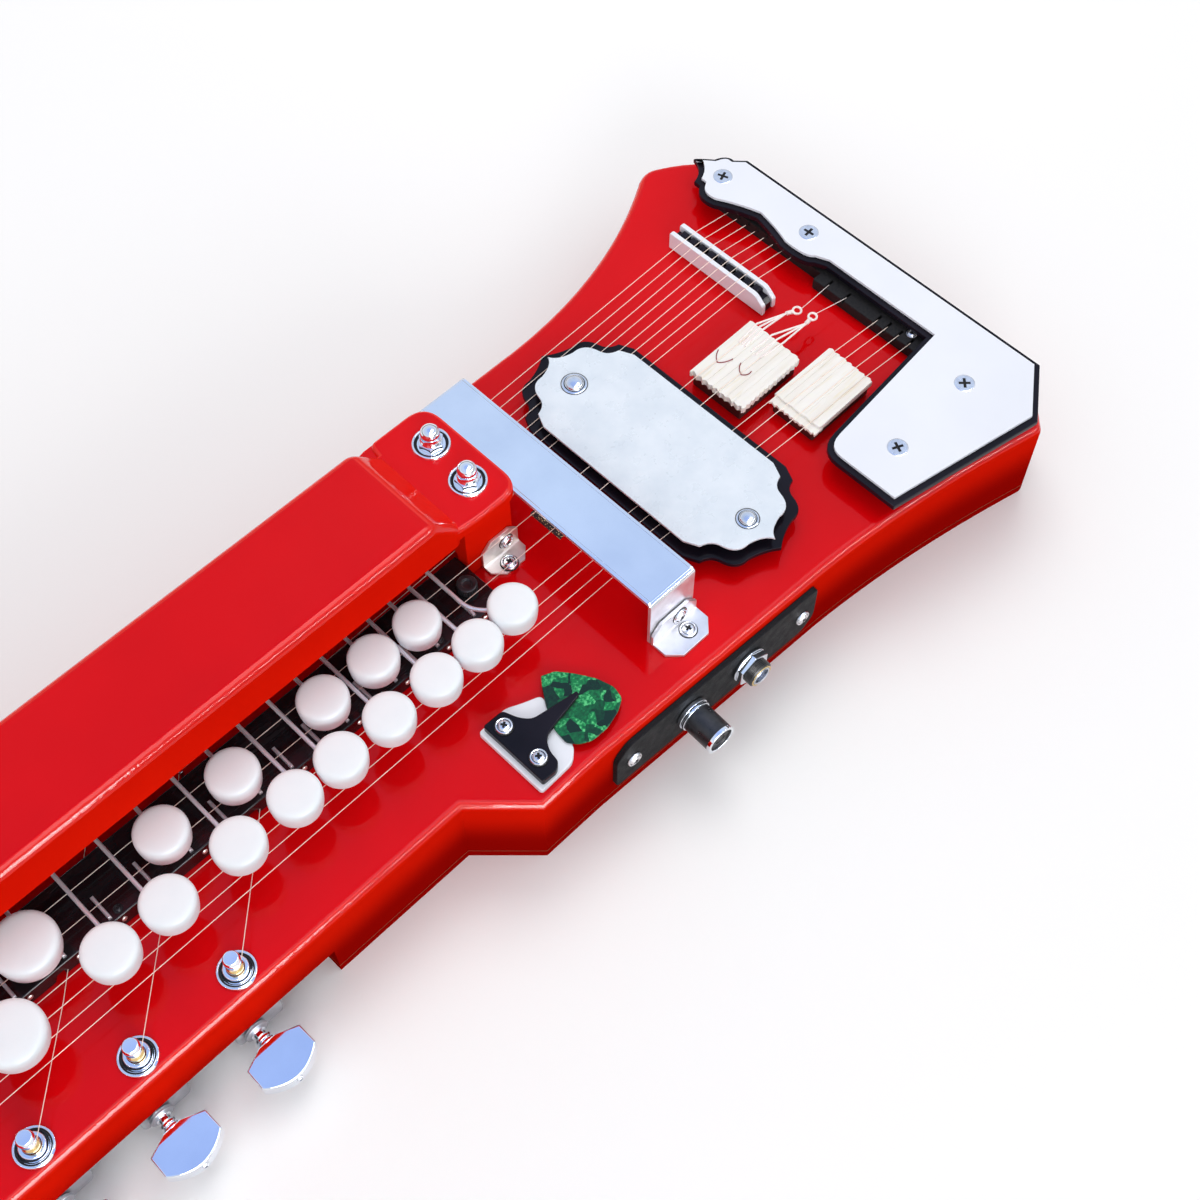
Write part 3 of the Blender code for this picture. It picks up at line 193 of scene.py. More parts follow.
def tube(route, radius, sides=10):
    points = [Vector(point) for point in route]
    ways = [(b - a).normalized() for a, b in zip(points, points[1:])]
    headings = [(a + b).normalized() for a, b in zip([ways[0]] + ways, ways + [ways[-1]])]
    form = bmesh.new()
    made = bmesh.ops.create_circle(form, cap_ends=False, segments=sides, radius=radius)["verts"]
    bmesh.ops.transform(form, matrix=facing(headings[0], points[0]), verts=made)
    edges = form.edges[:]
    bmesh.ops.edgeloop_fill(form, edges=edges)
    for i in range(1, len(points)):
        grown = bmesh.ops.extrude_edge_only(form, edges=edges)["geom"]
        verts = [item for item in grown if isinstance(item, bmesh.types.BMVert)]
        edges = [item for item in grown if isinstance(item, bmesh.types.BMEdge) and all(v in verts for v in item.verts)]
        turn = headings[i - 1].rotation_difference(headings[i]).to_matrix().to_4x4()
        move = Matrix.Translation(points[i]) @ turn @ Matrix.Translation(-points[i - 1])
        bmesh.ops.transform(form, matrix=move, verts=verts)
    bmesh.ops.edgeloop_fill(form, edges=edges)
    bmesh.ops.recalc_face_normals(form, faces=form.faces)
    return form


def coil(radius, wire, pitch, turns, perTurn=14, sides=6):
    form = bmesh.new()
    made = bmesh.ops.create_circle(form, cap_ends=True, segments=sides, radius=wire)["verts"]
    place = Matrix.Translation((radius, 0, 0)) @ Matrix.Rotation(math.radians(90), 4, "X")
    bmesh.ops.transform(form, matrix=place, verts=made)
    steps = int(turns * perTurn)
    bmesh.ops.spin(
        form, geom=form.faces[:], cent=(0, 0, 0), axis=(0, 0, 1), angle=turns * math.tau,
        steps=steps, dvec=(0, 0, pitch / perTurn), use_merge=False,
    )
    bmesh.ops.recalc_face_normals(form, faces=form.faces)
    return form


def facing(direction, base=(0, 0, 0)):
    turn = Vector((0, 0, 1)).rotation_difference(Vector(direction)).to_matrix().to_4x4()
    return Matrix.Translation(base) @ turn


def trimmed(form, point, normal):
    # cuts away what lies beyond a plane and closes the cut
    geom = form.verts[:] + form.edges[:] + form.faces[:]
    cut = bmesh.ops.bisect_plane(form, geom=geom, dist=1e-6, plane_co=point, plane_no=normal, clear_outer=True)
    edges = [item for item in cut["geom_cut"] if isinstance(item, bmesh.types.BMEdge)]
    if edges:
        bmesh.ops.edgeloop_fill(form, edges=edges)
    bmesh.ops.recalc_face_normals(form, faces=form.faces)
    return form


def addPiece(name, form, finish, body="body", angle=35, stands=(), walls=None, edges=None):
    bmesh.ops.remove_doubles(form, verts=form.verts, dist=1e-6)
    bmesh.ops.recalc_face_normals(form, faces=form.faces)
    mesh = bpy.data.meshes.new(name)
    form.to_mesh(mesh)
    form.free()
    mesh.shade_smooth()
    mesh.set_sharp_from_angle(angle=math.radians(angle))
    mesh.materials.append(finish)
    if walls:
        mesh.materials.append(walls)
        mesh.materials.append(edges or finish)
        # upright faces take the walls finish and steep ones the edges finish; on the box and cover these finishes carry
        # painted shade and painted light
        for face in mesh.polygons:
            upright = abs(face.normal.z)
            face.material_index = 1 if upright < 0.35 else 2 if upright < 0.93 else 0
    piece = bpy.data.objects.new(name, mesh)
    bpy.context.scene.collection.objects.link(piece)
    weigh = piece.modifiers.new("even shading", "WEIGHTED_NORMAL")
    weigh.keep_sharp = True
    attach(piece, body)
    if stands:
        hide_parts(*stands)
    return piece


# Finishes

def nodeOf(tree, kind, **values):
    node = tree.nodes.new(kind)
    for name, value in values.items():
        setattr(node, name, value)
    return node


def textureOf(tree, kind, vector, size, **values):
    node = tree.nodes.new(kind)
    node.inputs["Scale"].default_value = 1 / size
    for name, value in values.items():
        node.inputs[name].default_value = value
    tree.links.new(vector, node.inputs["Vector"])
    return node


def rampOf(tree, source, stops):
    ramp = tree.nodes.new("ShaderNodeValToRGB")
    while len(ramp.color_ramp.elements) < len(stops):
        ramp.color_ramp.elements.new(0.5)
    for element, (position, colour) in zip(ramp.color_ramp.elements, stops):
        element.position = position
        element.color = (*colour, 1.0)
    tree.links.new(source, ramp.inputs["Fac"])
    return ramp.outputs["Color"]


def finishOf(name, look):
    material = bpy.data.materials.new(name)
    material.use_nodes = True
    tree = material.node_tree
    shader = tree.nodes["Principled BSDF"]
    for socket, value in look.get("sockets", {}).items():
        shader.inputs[socket].default_value = value
    where = tree.nodes.new("ShaderNodeTexCoord")
    mapping = tree.nodes.new("ShaderNodeMapping")
    mapping.inputs["Scale"].default_value = look.get("stretch", (1, 1, 1))
    tree.links.new(where.outputs["Object"], mapping.inputs["Vector"])
    vector = mapping.outputs["Vector"]

    patches = textureOf(tree, "ShaderNodeTexNoise", vector, look["patch"], Detail=3.0)
    tree.links.new(rampOf(tree, patches.outputs["Fac"], look["colours"]), shader.inputs["Base Color"])

    smudges = textureOf(tree, "ShaderNodeTexNoise", vector, look["smudge"], Detail=5.0)
    shine = nodeOf(tree, "ShaderNodeMapRange")
    for socket, value in zip(("From Min", "From Max", "To Min", "To Max"), (0.3, 0.7, *look["rough"])):
        shine.inputs[socket].default_value = value
    tree.links.new(smudges.outputs["Fac"], shine.inputs["Value"])
    tree.links.new(shine.outputs["Result"], shader.inputs["Roughness"])

    grain = textureOf(tree, "ShaderNodeTexNoise", vector, look["grain"], Detail=look.get("detail", 2.0))
    bump = tree.nodes.new("ShaderNodeBump")
    bump.inputs["Strength"].default_value = 1.0
    bump.inputs["Distance"].default_value = look["depth"]
    tree.links.new(grain.outputs["Fac"], bump.inputs["Height"])
    tree.links.new(bump.outputs["Normal"], shader.inputs["Normal"])
    return material


def metalLook(dark, light, rough, patch=0.02, grain=0.004, depth=0.000004, stretch=(1, 1, 1)):
    return {
        "colours": ((0.3, dark), (0.7, light)), "patch": patch, "rough": rough, "smudge": 0.012,
        "grain": grain, "depth": depth, "stretch": stretch, "sockets": {"Metallic": 1.0},
    }


lacquer = finishOf("redLacquer", {
    "colours": ((0.3, (0.66, 0.0010, 0.0030)), (0.7, (0.74, 0.0016, 0.0040))), "patch": 0.06,
    "rough": (0.05, 0.10), "smudge": 0.04, "grain": 0.006, "depth": 0.00003,
    "sockets": {"Specular IOR Level": 0.16},
})
# lit copy of the lacquer for the roundings: its brighter, more orange base is painted light where the roundings face
# the lamps
edgeLacquerPaintedLight = finishOf("edgeLacquerPaintedLight", {
    "colours": ((0.3, (0.80, 0.0075, 0.0012)), (0.7, (0.88, 0.0110, 0.0018))), "patch": 0.05,
    "rough": (0.05, 0.09), "smudge": 0.02, "grain": 0.0030, "depth": 0.00012, "detail": 3.0,
    "sockets": {"Specular IOR Level": 0.36},
})
boardWood = finishOf("thinBoard", {
    "colours": ((0.3, (0.20, 0.11, 0.05)), (0.7, (0.34, 0.20, 0.10))), "patch": 0.004, "stretch": (0.06, 1, 1),
    "rough": (0.5, 0.7), "smudge": 0.01, "grain": 0.0015, "depth": 0.00008, "detail": 6.0,
})
darkWood = finishOf("darkFoot", {
    "colours": ((0.3, (0.018, 0.004, 0.003)), (0.7, (0.040, 0.008, 0.006))), "patch": 0.002, "stretch": (0.1, 1, 1),
    "rough": (0.35, 0.55), "smudge": 0.004, "grain": 0.0008, "depth": 0.00004,
})
blackPlate = finishOf("blackAcrylic", {
    "colours": ((0.3, (0.006, 0.005, 0.009)), (0.7, (0.013, 0.010, 0.017))), "patch": 0.03,
    "rough": (0.10, 0.22), "smudge": 0.015, "grain": 0.004, "depth": 0.000006,
    "sockets": {"Specular IOR Level": 0.16},
})
blackBoard = finishOf("blackFretboard", {
    "colours": ((0.3, (0.006, 0.006, 0.008)), (0.7, (0.016, 0.015, 0.018))), "patch": 0.006, "stretch": (0.15, 1, 1),
    "rough": (0.12, 0.30), "smudge": 0.006, "grain": 0.0015, "depth": 0.00002,
    "sockets": {"Specular IOR Level": 0.45},
})
whitePlate = finishOf("whiteAcrylic", {
    "colours": ((0.3, (0.84, 0.87, 0.95)), (0.7, (0.88, 0.91, 0.98))), "patch": 0.04,
    "rough": (0.16, 0.26), "smudge": 0.02, "grain": 0.003, "depth": 0.000004,
    "sockets": {"Specular IOR Level": 0.3},
})
buttonWhite = finishOf("buttonWhite", {
    "colours": ((0.3, (0.885, 0.94, 0.98)), (0.7, (0.915, 0.965, 1.0))), "patch": 0.008,
    "rough": (0.28, 0.42), "smudge": 0.005, "grain": 0.0012, "depth": 0.000008,
    "sockets": {"Specular IOR Level": 0.3, "Subsurface Weight": 0.05, "Subsurface Radius": (0.002, 0.002, 0.002)},
})
# the chrome's slight blue tint is painted reflection of the blue sky
chrome = finishOf("mirrorChrome", metalLook((0.80, 0.84, 0.90), (0.90, 0.93, 0.97), (0.03, 0.08)))
steel = finishOf("brushedSteel", metalLook((0.50, 0.53, 0.60), (0.66, 0.69, 0.76), (0.16, 0.30), 0.006, 0.0012, 0.000012))
warmSteel = finishOf("warmSteel", metalLook((0.66, 0.62, 0.58), (0.80, 0.76, 0.72), (0.34, 0.48), 0.004, 0.0008, 0.00002))
screwSteel = finishOf("screwSteel", metalLook((0.72, 0.72, 0.74), (0.88, 0.88, 0.90), (0.20, 0.32), 0.003, 0.0006, 0.00001))
domeSteel = finishOf("domeSteel", metalLook((0.66, 0.68, 0.72), (0.84, 0.86, 0.90), (0.14, 0.22), 0.003, 0.0008, 0.00001))
rodSteel = finishOf("rodSteel", {
    "colours": ((0.3, (0.74, 0.77, 0.83)), (0.7, (0.88, 0.90, 0.95))), "patch": 0.01, "stretch": (1, 0.1, 1),
    "rough": (0.22, 0.34), "smudge": 0.01, "grain": 0.0008, "depth": 0.000004, "sockets": {"Metallic": 0.45},
})
# the warm tint and the matt, bright base stand in for the red box and the lamps reflected in steel wire: painted
# reflection
stringPaintedReflection = finishOf("stringSteelPaintedReflection", {
    "colours": ((0.3, (1.0, 0.80, 0.68)), (0.7, (1.0, 0.88, 0.78))), "patch": 0.02,
    "rough": (0.36, 0.46), "smudge": 0.02, "grain": 0.0008, "depth": 0.000002, "sockets": {"Metallic": 0.05},
})
satinSheet = finishOf("satinSheet", {
    "colours": ((0.3, (0.66, 0.66, 0.69)), (0.7, (0.80, 0.80, 0.83))), "patch": 0.006,
    "rough": (0.30, 0.42), "smudge": 0.004, "grain": 0.0010, "depth": 0.00001, "sockets": {"Metallic": 0.75},
})
# near black: the tailpiece's own colour, and painted shade for the fills in screw recesses and the rings under screw
# heads and in washer grooves
blackAndPaintedShade = finishOf("blackAndPaintedShade", {
    "colours": ((0.3, (0.006, 0.006, 0.007)), (0.7, (0.020, 0.018, 0.018))), "patch": 0.001,
    "rough": (0.5, 0.7), "smudge": 0.001, "grain": 0.0004, "depth": 0.00001,
    "sockets": {"Specular IOR Level": 0.2},
})
castMetal = finishOf("castHousing", metalLook((0.42, 0.43, 0.46), (0.60, 0.61, 0.64), (0.30, 0.45), 0.006, 0.0006, 0.00003))
brass = finishOf("brass", metalLook((0.72, 0.50, 0.20), (0.86, 0.66, 0.32), (0.12, 0.22), 0.003, 0.0006, 0.00001))
blackMetal = finishOf("blackMetal", {
    "colours": ((0.3, (0.010, 0.010, 0.012)), (0.7, (0.028, 0.028, 0.032))), "patch": 0.003,
    "rough": (0.25, 0.4), "smudge": 0.003, "grain": 0.0006, "depth": 0.00002,
})
redThread = finishOf("redThread", {
    "colours": ((0.3, (0.16, 0.01, 0.02)), (0.7, (0.34, 0.02, 0.04))), "patch": 0.0006,
    "rough": (0.6, 0.8), "smudge": 0.001, "grain": 0.0002, "depth": 0.00004,
})
paleThread = finishOf("paleThread", {
    "colours": ((0.3, (0.94, 0.82, 0.79)), (0.7, (1.0, 0.94, 0.91))), "patch": 0.0008,
    "rough": (0.45, 0.6), "smudge": 0.001, "grain": 0.0002, "depth": 0.00003,
})


def sideFinish():
    # painted light and shade on the walls: bright above, with a base lighter than the deck's standing in for light, and
    # darker towards the foot as painted shade where less light falls on the walls
    material = finishOf("sideLacquerPaintedLightAndShade", {
        "colours": ((0.3, (0.76, 0.0080, 0.0014)), (0.7, (0.84, 0.0115, 0.0020))), "patch": 0.06,
        "rough": (0.10, 0.16), "smudge": 0.04, "grain": 0.006, "depth": 0.00003,
        "sockets": {"Specular IOR Level": 0.0},
    })
    tree = material.node_tree
    shader = tree.nodes["Principled BSDF"]
    base = shader.inputs["Base Color"].links[0].from_socket
    vector = next(node for node in tree.nodes if node.type == "MAPPING").outputs["Vector"]
    split = tree.nodes.new("ShaderNodeSeparateXYZ")
    tree.links.new(vector, split.inputs["Vector"])
    fade = nodeOf(tree, "ShaderNodeMapRange", interpolation_type="SMOOTHSTEP")
    for socket, value in (("From Min", 0.012), ("From Max", 0.036)):
        fade.inputs[socket].default_value = value
    tree.links.new(split.outputs["Z"], fade.inputs["Value"])
    mix = nodeOf(tree, "ShaderNodeMix", data_type="RGBA")
    tree.links.new(fade.outputs["Result"], mix.inputs["Factor"])
    # painted shade: the dark colour the walls take at the foot
    mix.inputs["A"].default_value = (0.36, 0.0024, 0.0010, 1)
    tree.links.new(base, mix.inputs["B"])
    tree.links.new(mix.outputs["Result"], shader.inputs["Base Color"])
    return material


sideLacquerPaintedLightAndShade = sideFinish()


def ivoryFinish():
    # long faint yellow veins, as in turned horn
    material = finishOf("veinedIvory", {
        "colours": ((0.3, (0.88, 0.84, 0.78)), (0.7, (0.94, 0.92, 0.88))), "patch": 0.004, "stretch": (0.12, 1, 1),
        "rough": (0.22, 0.36), "smudge": 0.004, "grain": 0.0010, "depth": 0.00003,
        "sockets": {"Specular IOR Level": 0.35, "Subsurface Weight": 0.08, "Subsurface Radius": (0.003, 0.002, 0.001)},
    })
    tree = material.node_tree
    shader = tree.nodes["Principled BSDF"]
    base = shader.inputs["Base Color"].links[0].from_socket
    vector = next(node for node in tree.nodes if node.type == "MAPPING").outputs["Vector"]
    veins = textureOf(tree, "ShaderNodeTexNoise", vector, 0.0016, Detail=4.0)
    mask = rampOf(tree, veins.outputs["Fac"], ((0.58, (0, 0, 0)), (0.74, (0.4, 0.4, 0.4))))
    mix = nodeOf(tree, "ShaderNodeMix", data_type="RGBA")
    tree.links.new(mask, mix.inputs["Factor"])
    tree.links.new(base, mix.inputs["A"])
    mix.inputs["B"].default_value = (0.80, 0.70, 0.44, 1)
    tree.links.new(mix.outputs["Result"], shader.inputs["Base Color"])
    return material


def hammeredFinish():
    # pale plate with shallow dents and a fine grain
    material = finishOf("hammeredPlate", {
        "colours": ((0.3, (0.70, 0.77, 0.84)), (0.7, (0.79, 0.85, 0.91))), "patch": 0.010,
        "rough": (0.24, 0.36), "smudge": 0.006, "grain": 0.0035, "depth": 0.00005, "detail": 3.0,
        "sockets": {"Metallic": 0.10, "Specular IOR Level": 0.3},
    })
    tree = material.node_tree
    bump = next(node for node in tree.nodes if node.type == "BUMP")
    vector = next(node for node in tree.nodes if node.type == "MAPPING").outputs["Vector"]
    dents = textureOf(tree, "ShaderNodeTexVoronoi", vector, 0.006)
    dents.feature = "SMOOTH_F1"
    dents.inputs["Smoothness"].default_value = 0.8
    second = tree.nodes.new("ShaderNodeBump")
    second.inputs["Distance"].default_value = 0.00003
    tree.links.new(dents.outputs["Distance"], second.inputs["Height"])
    tree.links.new(second.outputs["Normal"], bump.inputs["Normal"])
    return material


def texturedPlateFinish():
    material = finishOf("texturedPlate", {
        "colours": ((0.3, (0.004, 0.004, 0.005)), (0.7, (0.015, 0.015, 0.016))), "patch": 0.0008,
        "rough": (0.45, 0.65), "smudge": 0.004, "grain": 0.0007, "depth": 0.00012, "detail": 4.0,
        "sockets": {"Specular IOR Level": 0.12},
    })
    return material


def pearlFinish():
    # bright flakes of several sizes in dark clear green
    material = finishOf("greenPearl", {
        "colours": ((0.3, (0.0, 0.05, 0.02)), (0.7, (0.0, 0.09, 0.03))), "patch": 0.006,
        "rough": (0.08, 0.16), "smudge": 0.004, "grain": 0.002, "depth": 0.00001,
        "sockets": {"Specular IOR Level": 0.3, "Coat Weight": 0.25, "Coat Roughness": 0.05},
    })
    tree = material.node_tree
    shader = tree.nodes["Principled BSDF"]
    vector = next(node for node in tree.nodes if node.type == "MAPPING").outputs["Vector"]
    bend = textureOf(tree, "ShaderNodeTexNoise", vector, 0.004, Detail=2.0)
    warp = nodeOf(tree, "ShaderNodeMix", data_type="VECTOR")
    warp.inputs["Factor"].default_value = 0.0016
    tree.links.new(vector, warp.inputs["A"])
    tree.links.new(bend.outputs["Color"], warp.inputs["B"])
    flakes = textureOf(tree, "ShaderNodeTexVoronoi", warp.outputs["Result"], 0.0042)
    flakes.inputs["Randomness"].default_value = 1.0
    split = tree.nodes.new("ShaderNodeSeparateColor")
    tree.links.new(flakes.outputs["Color"], split.inputs["Color"])
    inside = textureOf(tree, "ShaderNodeTexNoise", vector, 0.0012, Detail=3.0)
    add = nodeOf(tree, "ShaderNodeMath", operation="MULTIPLY")
    tree.links.new(split.outputs["Red"], add.inputs[0])
    tree.links.new(inside.outputs["Fac"], add.inputs[1])
    colour = rampOf(tree, add.outputs["Value"], (
        (0.06, (0.0, 0.022, 0.009)), (0.18, (0.0, 0.070, 0.022)), (0.30, (0.001, 0.14, 0.040)),
        (0.42, (0.006, 0.27, 0.070)), (0.54, (0.11, 0.64, 0.23)),
    ))
    tree.links.new(colour, shader.inputs["Base Color"])
    return material


def speckledFinish():
    # dark strip strewn with yellowish grains
    material = finishOf("speckledStrip", {
        "colours": ((0.3, (0.02, 0.018, 0.02)), (0.7, (0.05, 0.04, 0.04))), "patch": 0.002,
        "rough": (0.4, 0.6), "smudge": 0.002, "grain": 0.0005, "depth": 0.00006,
    })
    tree = material.node_tree
    shader = tree.nodes["Principled BSDF"]
    vector = next(node for node in tree.nodes if node.type == "MAPPING").outputs["Vector"]
    grains = textureOf(tree, "ShaderNodeTexVoronoi", vector, 0.0008)
    colour = rampOf(tree, grains.outputs["Distance"], ((0.22, (0.85, 0.72, 0.35)), (0.34, (0.03, 0.025, 0.03))))
    tree.links.new(colour, shader.inputs["Base Color"])
    return material


speckled = speckledFinish()
ivory = ivoryFinish()
hammered = hammeredFinish()
texturedPlate = texturedPlateFinish()
greenPearl = pearlFinish()
print("Finishes made")


# Box

boxSizes = {
    "ledgeZ": 0.019, "lowZ": 0.0043, "headX": -0.405, "headCorner": 0.016, "neckY": (-0.0612, 0.052),
    "bodyY": (-0.0815, 0.0735), "shoulderX": 0.137, "tailY": (-0.1035, 0.1025), "endX": 0.427,
    "controlsX": (0.185, 0.300), "controlsSlope": -0.040, "ledgeEndX": 0.0755, "ledgeDepth": 0.023,
    "nearCut": 0.018, "farBlunt": 0.024, "lowerLeftX": nutX - 0.014, "edgeRound": 0.004,
}


def controlsWallY(x):
    return boxSizes["bodyY"][0] + boxSizes["controlsSlope"] * (x - boxSizes["controlsX"][0])


def tailOutline():
    # the wide end, from the near shoulder round to the far one
    wallLeft, wallRight = boxSizes["controlsX"]
    nearY, farY = boxSizes["bodyY"]
    endX, cut, shoulder = boxSizes["endX"], boxSizes["nearCut"], boxSizes["shoulderX"]
    wallEnd = (wallRight, controlsWallY(wallRight))
    nearTip = Vector((endX - cut, boxSizes["tailY"][0]))
    farTip = (endX - boxSizes["farBlunt"], boxSizes["tailY"][1])
    farStart = (wallLeft + 0.105, farY)
    points = [(shoulder + boxSizes["neckY"][0] - nearY, nearY), (wallLeft, nearY), wallEnd]
    bend = Vector((wallEnd[0] + 0.050, wallEnd[1] - 0.003))
    before = nearTip + (bend - nearTip).normalized() * 0.0027
    points += arcBetween(wallEnd, bend, before, 16)
    points += arcBetween(before, nearTip, nearTip + Vector((0.0019, 0.0019)), 5)
    points += [(endX - 0.0015, nearTip.y + cut - 0.0015)]
    points += arcBetween(points[-1], (endX, nearTip.y + cut), (endX, nearTip.y + cut + 0.0021), 5)
    points += [(endX, farTip[1] - 0.028)]
    points += arcBetween(points[-1], (endX - 0.001, farTip[1] - 0.012), farTip, 8)
    roundEnd = (farTip[0] - 0.013, farTip[1] - 0.0015)
    points += arcBetween(farTip, (farTip[0] - 0.006, farTip[1] + 0.0035), roundEnd, 6)
    points += arcBetween(roundEnd, (farStart[0] + 0.055, farStart[1] + 0.001), farStart, 16)
    return points + [(shoulder + farY - boxSizes["neckY"][1], farY)]


def deckOutline():
    x, corner = boxSizes["headX"], boxSizes["headCorner"]
    near, far = boxSizes["neckY"]
    head = rounded([(x, near, corner), (0, near, 0), (0, far, 0), (x, far, corner)], 8)
    shoulder = boxSizes["shoulderX"]
    return head[:9] + [(shoulder, near)] + tailOutline() + [(shoulder, far)] + head[-9:]


def lowerOutline():
    near, far = boxSizes["neckY"]
    left, step, shoulder = boxSizes["lowerLeftX"], boxSizes["ledgeEndX"], boxSizes["shoulderX"]
    ledge = near + boxSizes["ledgeDepth"]
    return [(left, ledge), (step, ledge), (step, near), (shoulder, near)] + tailOutline() + [(shoulder, far), (left, far)]


def makeBox():
    ledgeZ = boxSizes["ledgeZ"]
    deck = sheet(deckOutline(), ledgeZ, deckZ, boxSizes["edgeRound"], 0.0, 7)
    lower = sheet(lowerOutline(), boxSizes["lowZ"], ledgeZ + 0.006)
    # walls take the side lacquer with painted light and shade, roundings the edge lacquer with painted light
    addPiece("lacqueredBox", combine(deck, lower, "UNION"), lacquer, stands=("body_shell",), walls=sideLacquerPaintedLightAndShade, edges=edgeLacquerPaintedLight)
    board = sheet(lowerOutline(), 0.0, boxSizes["lowZ"] - seat)
    # the board's edges take the side lacquer, dark there with painted shade at this low height
    addPiece("bottomBoard", board, boardWood, stands=("bottom_board",), walls=sideLacquerPaintedLightAndShade)


makeBox()
print("Box made")


# Key cover with its two platforms

coverSizes = {
    "x": (nutX + 0.006, 0.1995), "y": (0.0018, 0.0480), "high": 0.053, "mouth": 0.030, "wall": 0.005,
    "roof": 0.006, "round": 0.0040, "slope": 0.0112, "platformLong": 0.0282, "platformHigh": 0.040,
    "lip": 0.0325, "wing": 0.030, "platformThick": 0.006, "platformNearY": 0.0012, "platformFarY": (0.0515, 0.0534), "platformCorner": 0.0095,
    "platformRound": 0.0022, "footY": 0.0057, "footX": 0.2028, "farFootY": 0.0128,
    "tunnelY": (0.0110, 0.0405), "tunnelHigh": (0.0022, 0.0112),
}


def coverBlock(low, high):
    # a long box whose ends slope in above the platforms
    form = block(low, high)
    shelf = deckZ + coverSizes["platformHigh"]
    for side, x in ((-1, low[0]), (1, high[0])):
        trimmed(form, (x, 0, shelf), Vector((side * (high[2] - shelf), 0, coverSizes["slope"])).normalized())
    level = edgesAt(form, low[2]) + edgesAt(form, shelf)
    roundOff(form, [edge for edge in form.edges if edge not in level], coverSizes["round"], 7)
    return form


def coverEnd(side, footX, footY):
    nearWall, farWall = coverSizes["y"][0] + seat, coverSizes["y"][1] - seat
    near, far = coverSizes["platformNearY"], coverSizes["platformFarY"][int(side > 0)]
    inner = coverSizes["x"][int(side > 0)]
    outer = inner + side * coverSizes["platformLong"]
    lap = inner - side * (coverSizes["wall"] - 0.001)
    top = deckZ + coverSizes["platformHigh"]
    corner = coverSizes["platformCorner"]
    outline = rounded([
        (lap, nearWall, 0), (inner, nearWall, 0), (inner + side * 0.008, near, 0.004), (outer, near, corner),
        (outer, far, corner), (inner + side * 0.001, far, 0.0028), (inner, farWall, 0), (lap, farWall, 0),
    ], 8)
    shelf = sheet(outline, top - coverSizes["platformThick"], top, coverSizes["platformRound"], 0.0008, 5)
    wing = sheet([(inner + side * 0.006, far - 0.004), (inner + side * 0.006, far), (inner - side * 0.002, far),
                  (inner - side * coverSizes["wing"], farWall), (inner - side * coverSizes["wing"], farWall - 0.003),
                  (inner + side * 0.006, farWall - 0.003)], top - coverSizes["platformThick"], top - 0.0018, 0.0005, 0.0003, 2)
    shelf = combine(shelf, wing, "UNION")
    low, high = sorted((footX, outer - side * 0.0025))
    foot = block((low, footY, deckZ + seat), (high, coverSizes["y"][1] - 0.001, top - 0.003))
    return shelf, foot


def makeCover():
    left, right = coverSizes["x"]
    near, far = coverSizes["y"]
    wall, end = coverSizes["wall"], coverSizes["slope"] + 0.0015
    foot, roof, mouth = deckZ + seat, deckZ + coverSizes["high"], deckZ + coverSizes["mouth"]
    form = coverBlock((left, near, foot), (right, far, roof))
    hollow = block((left + end, near + wall, mouth - 0.005), (right - end, far - wall - 0.001, roof - coverSizes["roof"]))
    opening = block((left - 0.01, near - 0.01, foot - 0.01), (right + 0.01, far - wall, mouth))
    slot = block((left - 0.01, near - 0.01, foot - 0.01), (right + 0.01, near + wall - 0.001, deckZ + coverSizes["lip"]))
    form = combine(combine(combine(form, hollow), opening), slot)
    for side, footX, footY in ((-1, left - seat, coverSizes["farFootY"]), (1, coverSizes["footX"], coverSizes["footY"])):
        shelf, support = coverEnd(side, footX, footY)
        if side > 0:
            (lowY, highY), (low, high) = coverSizes["tunnelY"], coverSizes["tunnelHigh"]
            tunnel = block((right - 0.01, lowY, deckZ + low), (right + 0.05, highY, deckZ + high), 0.003, 4)
            support = combine(support, tunnel)
        form = combine(combine(form, shelf, "UNION"), support, "UNION")
    # walls take the side lacquer with painted light and shade, roundings the edge lacquer with painted light
    addPiece("keyCover", form, lacquer, stands=("key_cover",), walls=sideLacquerPaintedLightAndShade, edges=edgeLacquerPaintedLight)


makeCover()
print("Cover made")


# Fretboard and frets

boardSizes = {
    "y": (-0.0133, 0.0125), "endX": 0.2025, "thick": 0.0075, "round": 0.0006, "fretY": (-0.0117, -0.0013),
    "fretWide": 0.0013, "fretHigh": 0.0014, "groove": 0.0035, "studs": 0.0011,
}
tunerSizes = {
    "firstX": 0.0452, "pitch": 0.0405, "count": 8, "postY": -0.0520, "headX": -0.371, "headY": (-0.0427, 0.0335),
    "headCount": 3, "postRadius": 0.0030, "postHigh": 0.0125, "waistHigh": 0.0069, "washer": 0.0070,
    "shaftZ": 0.0115, "shaftBack": 0.0058, "housing": (0.020, 0.0185, 0.0135), "plate": 0.0015,
}


def sidePosts():
    return [(tunerSizes["firstX"] - i * tunerSizes["pitch"], tunerSizes["postY"]) for i in range(tunerSizes["count"])]


def headPosts(side):
    y = tunerSizes["headY"][0 if side < 0 else 1]
    return [(tunerSizes["headX"] + i * tunerSizes["pitch"], y) for i in range(tunerSizes["headCount"])]


def fretX(n):
    return bridgeX - firstFret * 2 ** (n / 12)


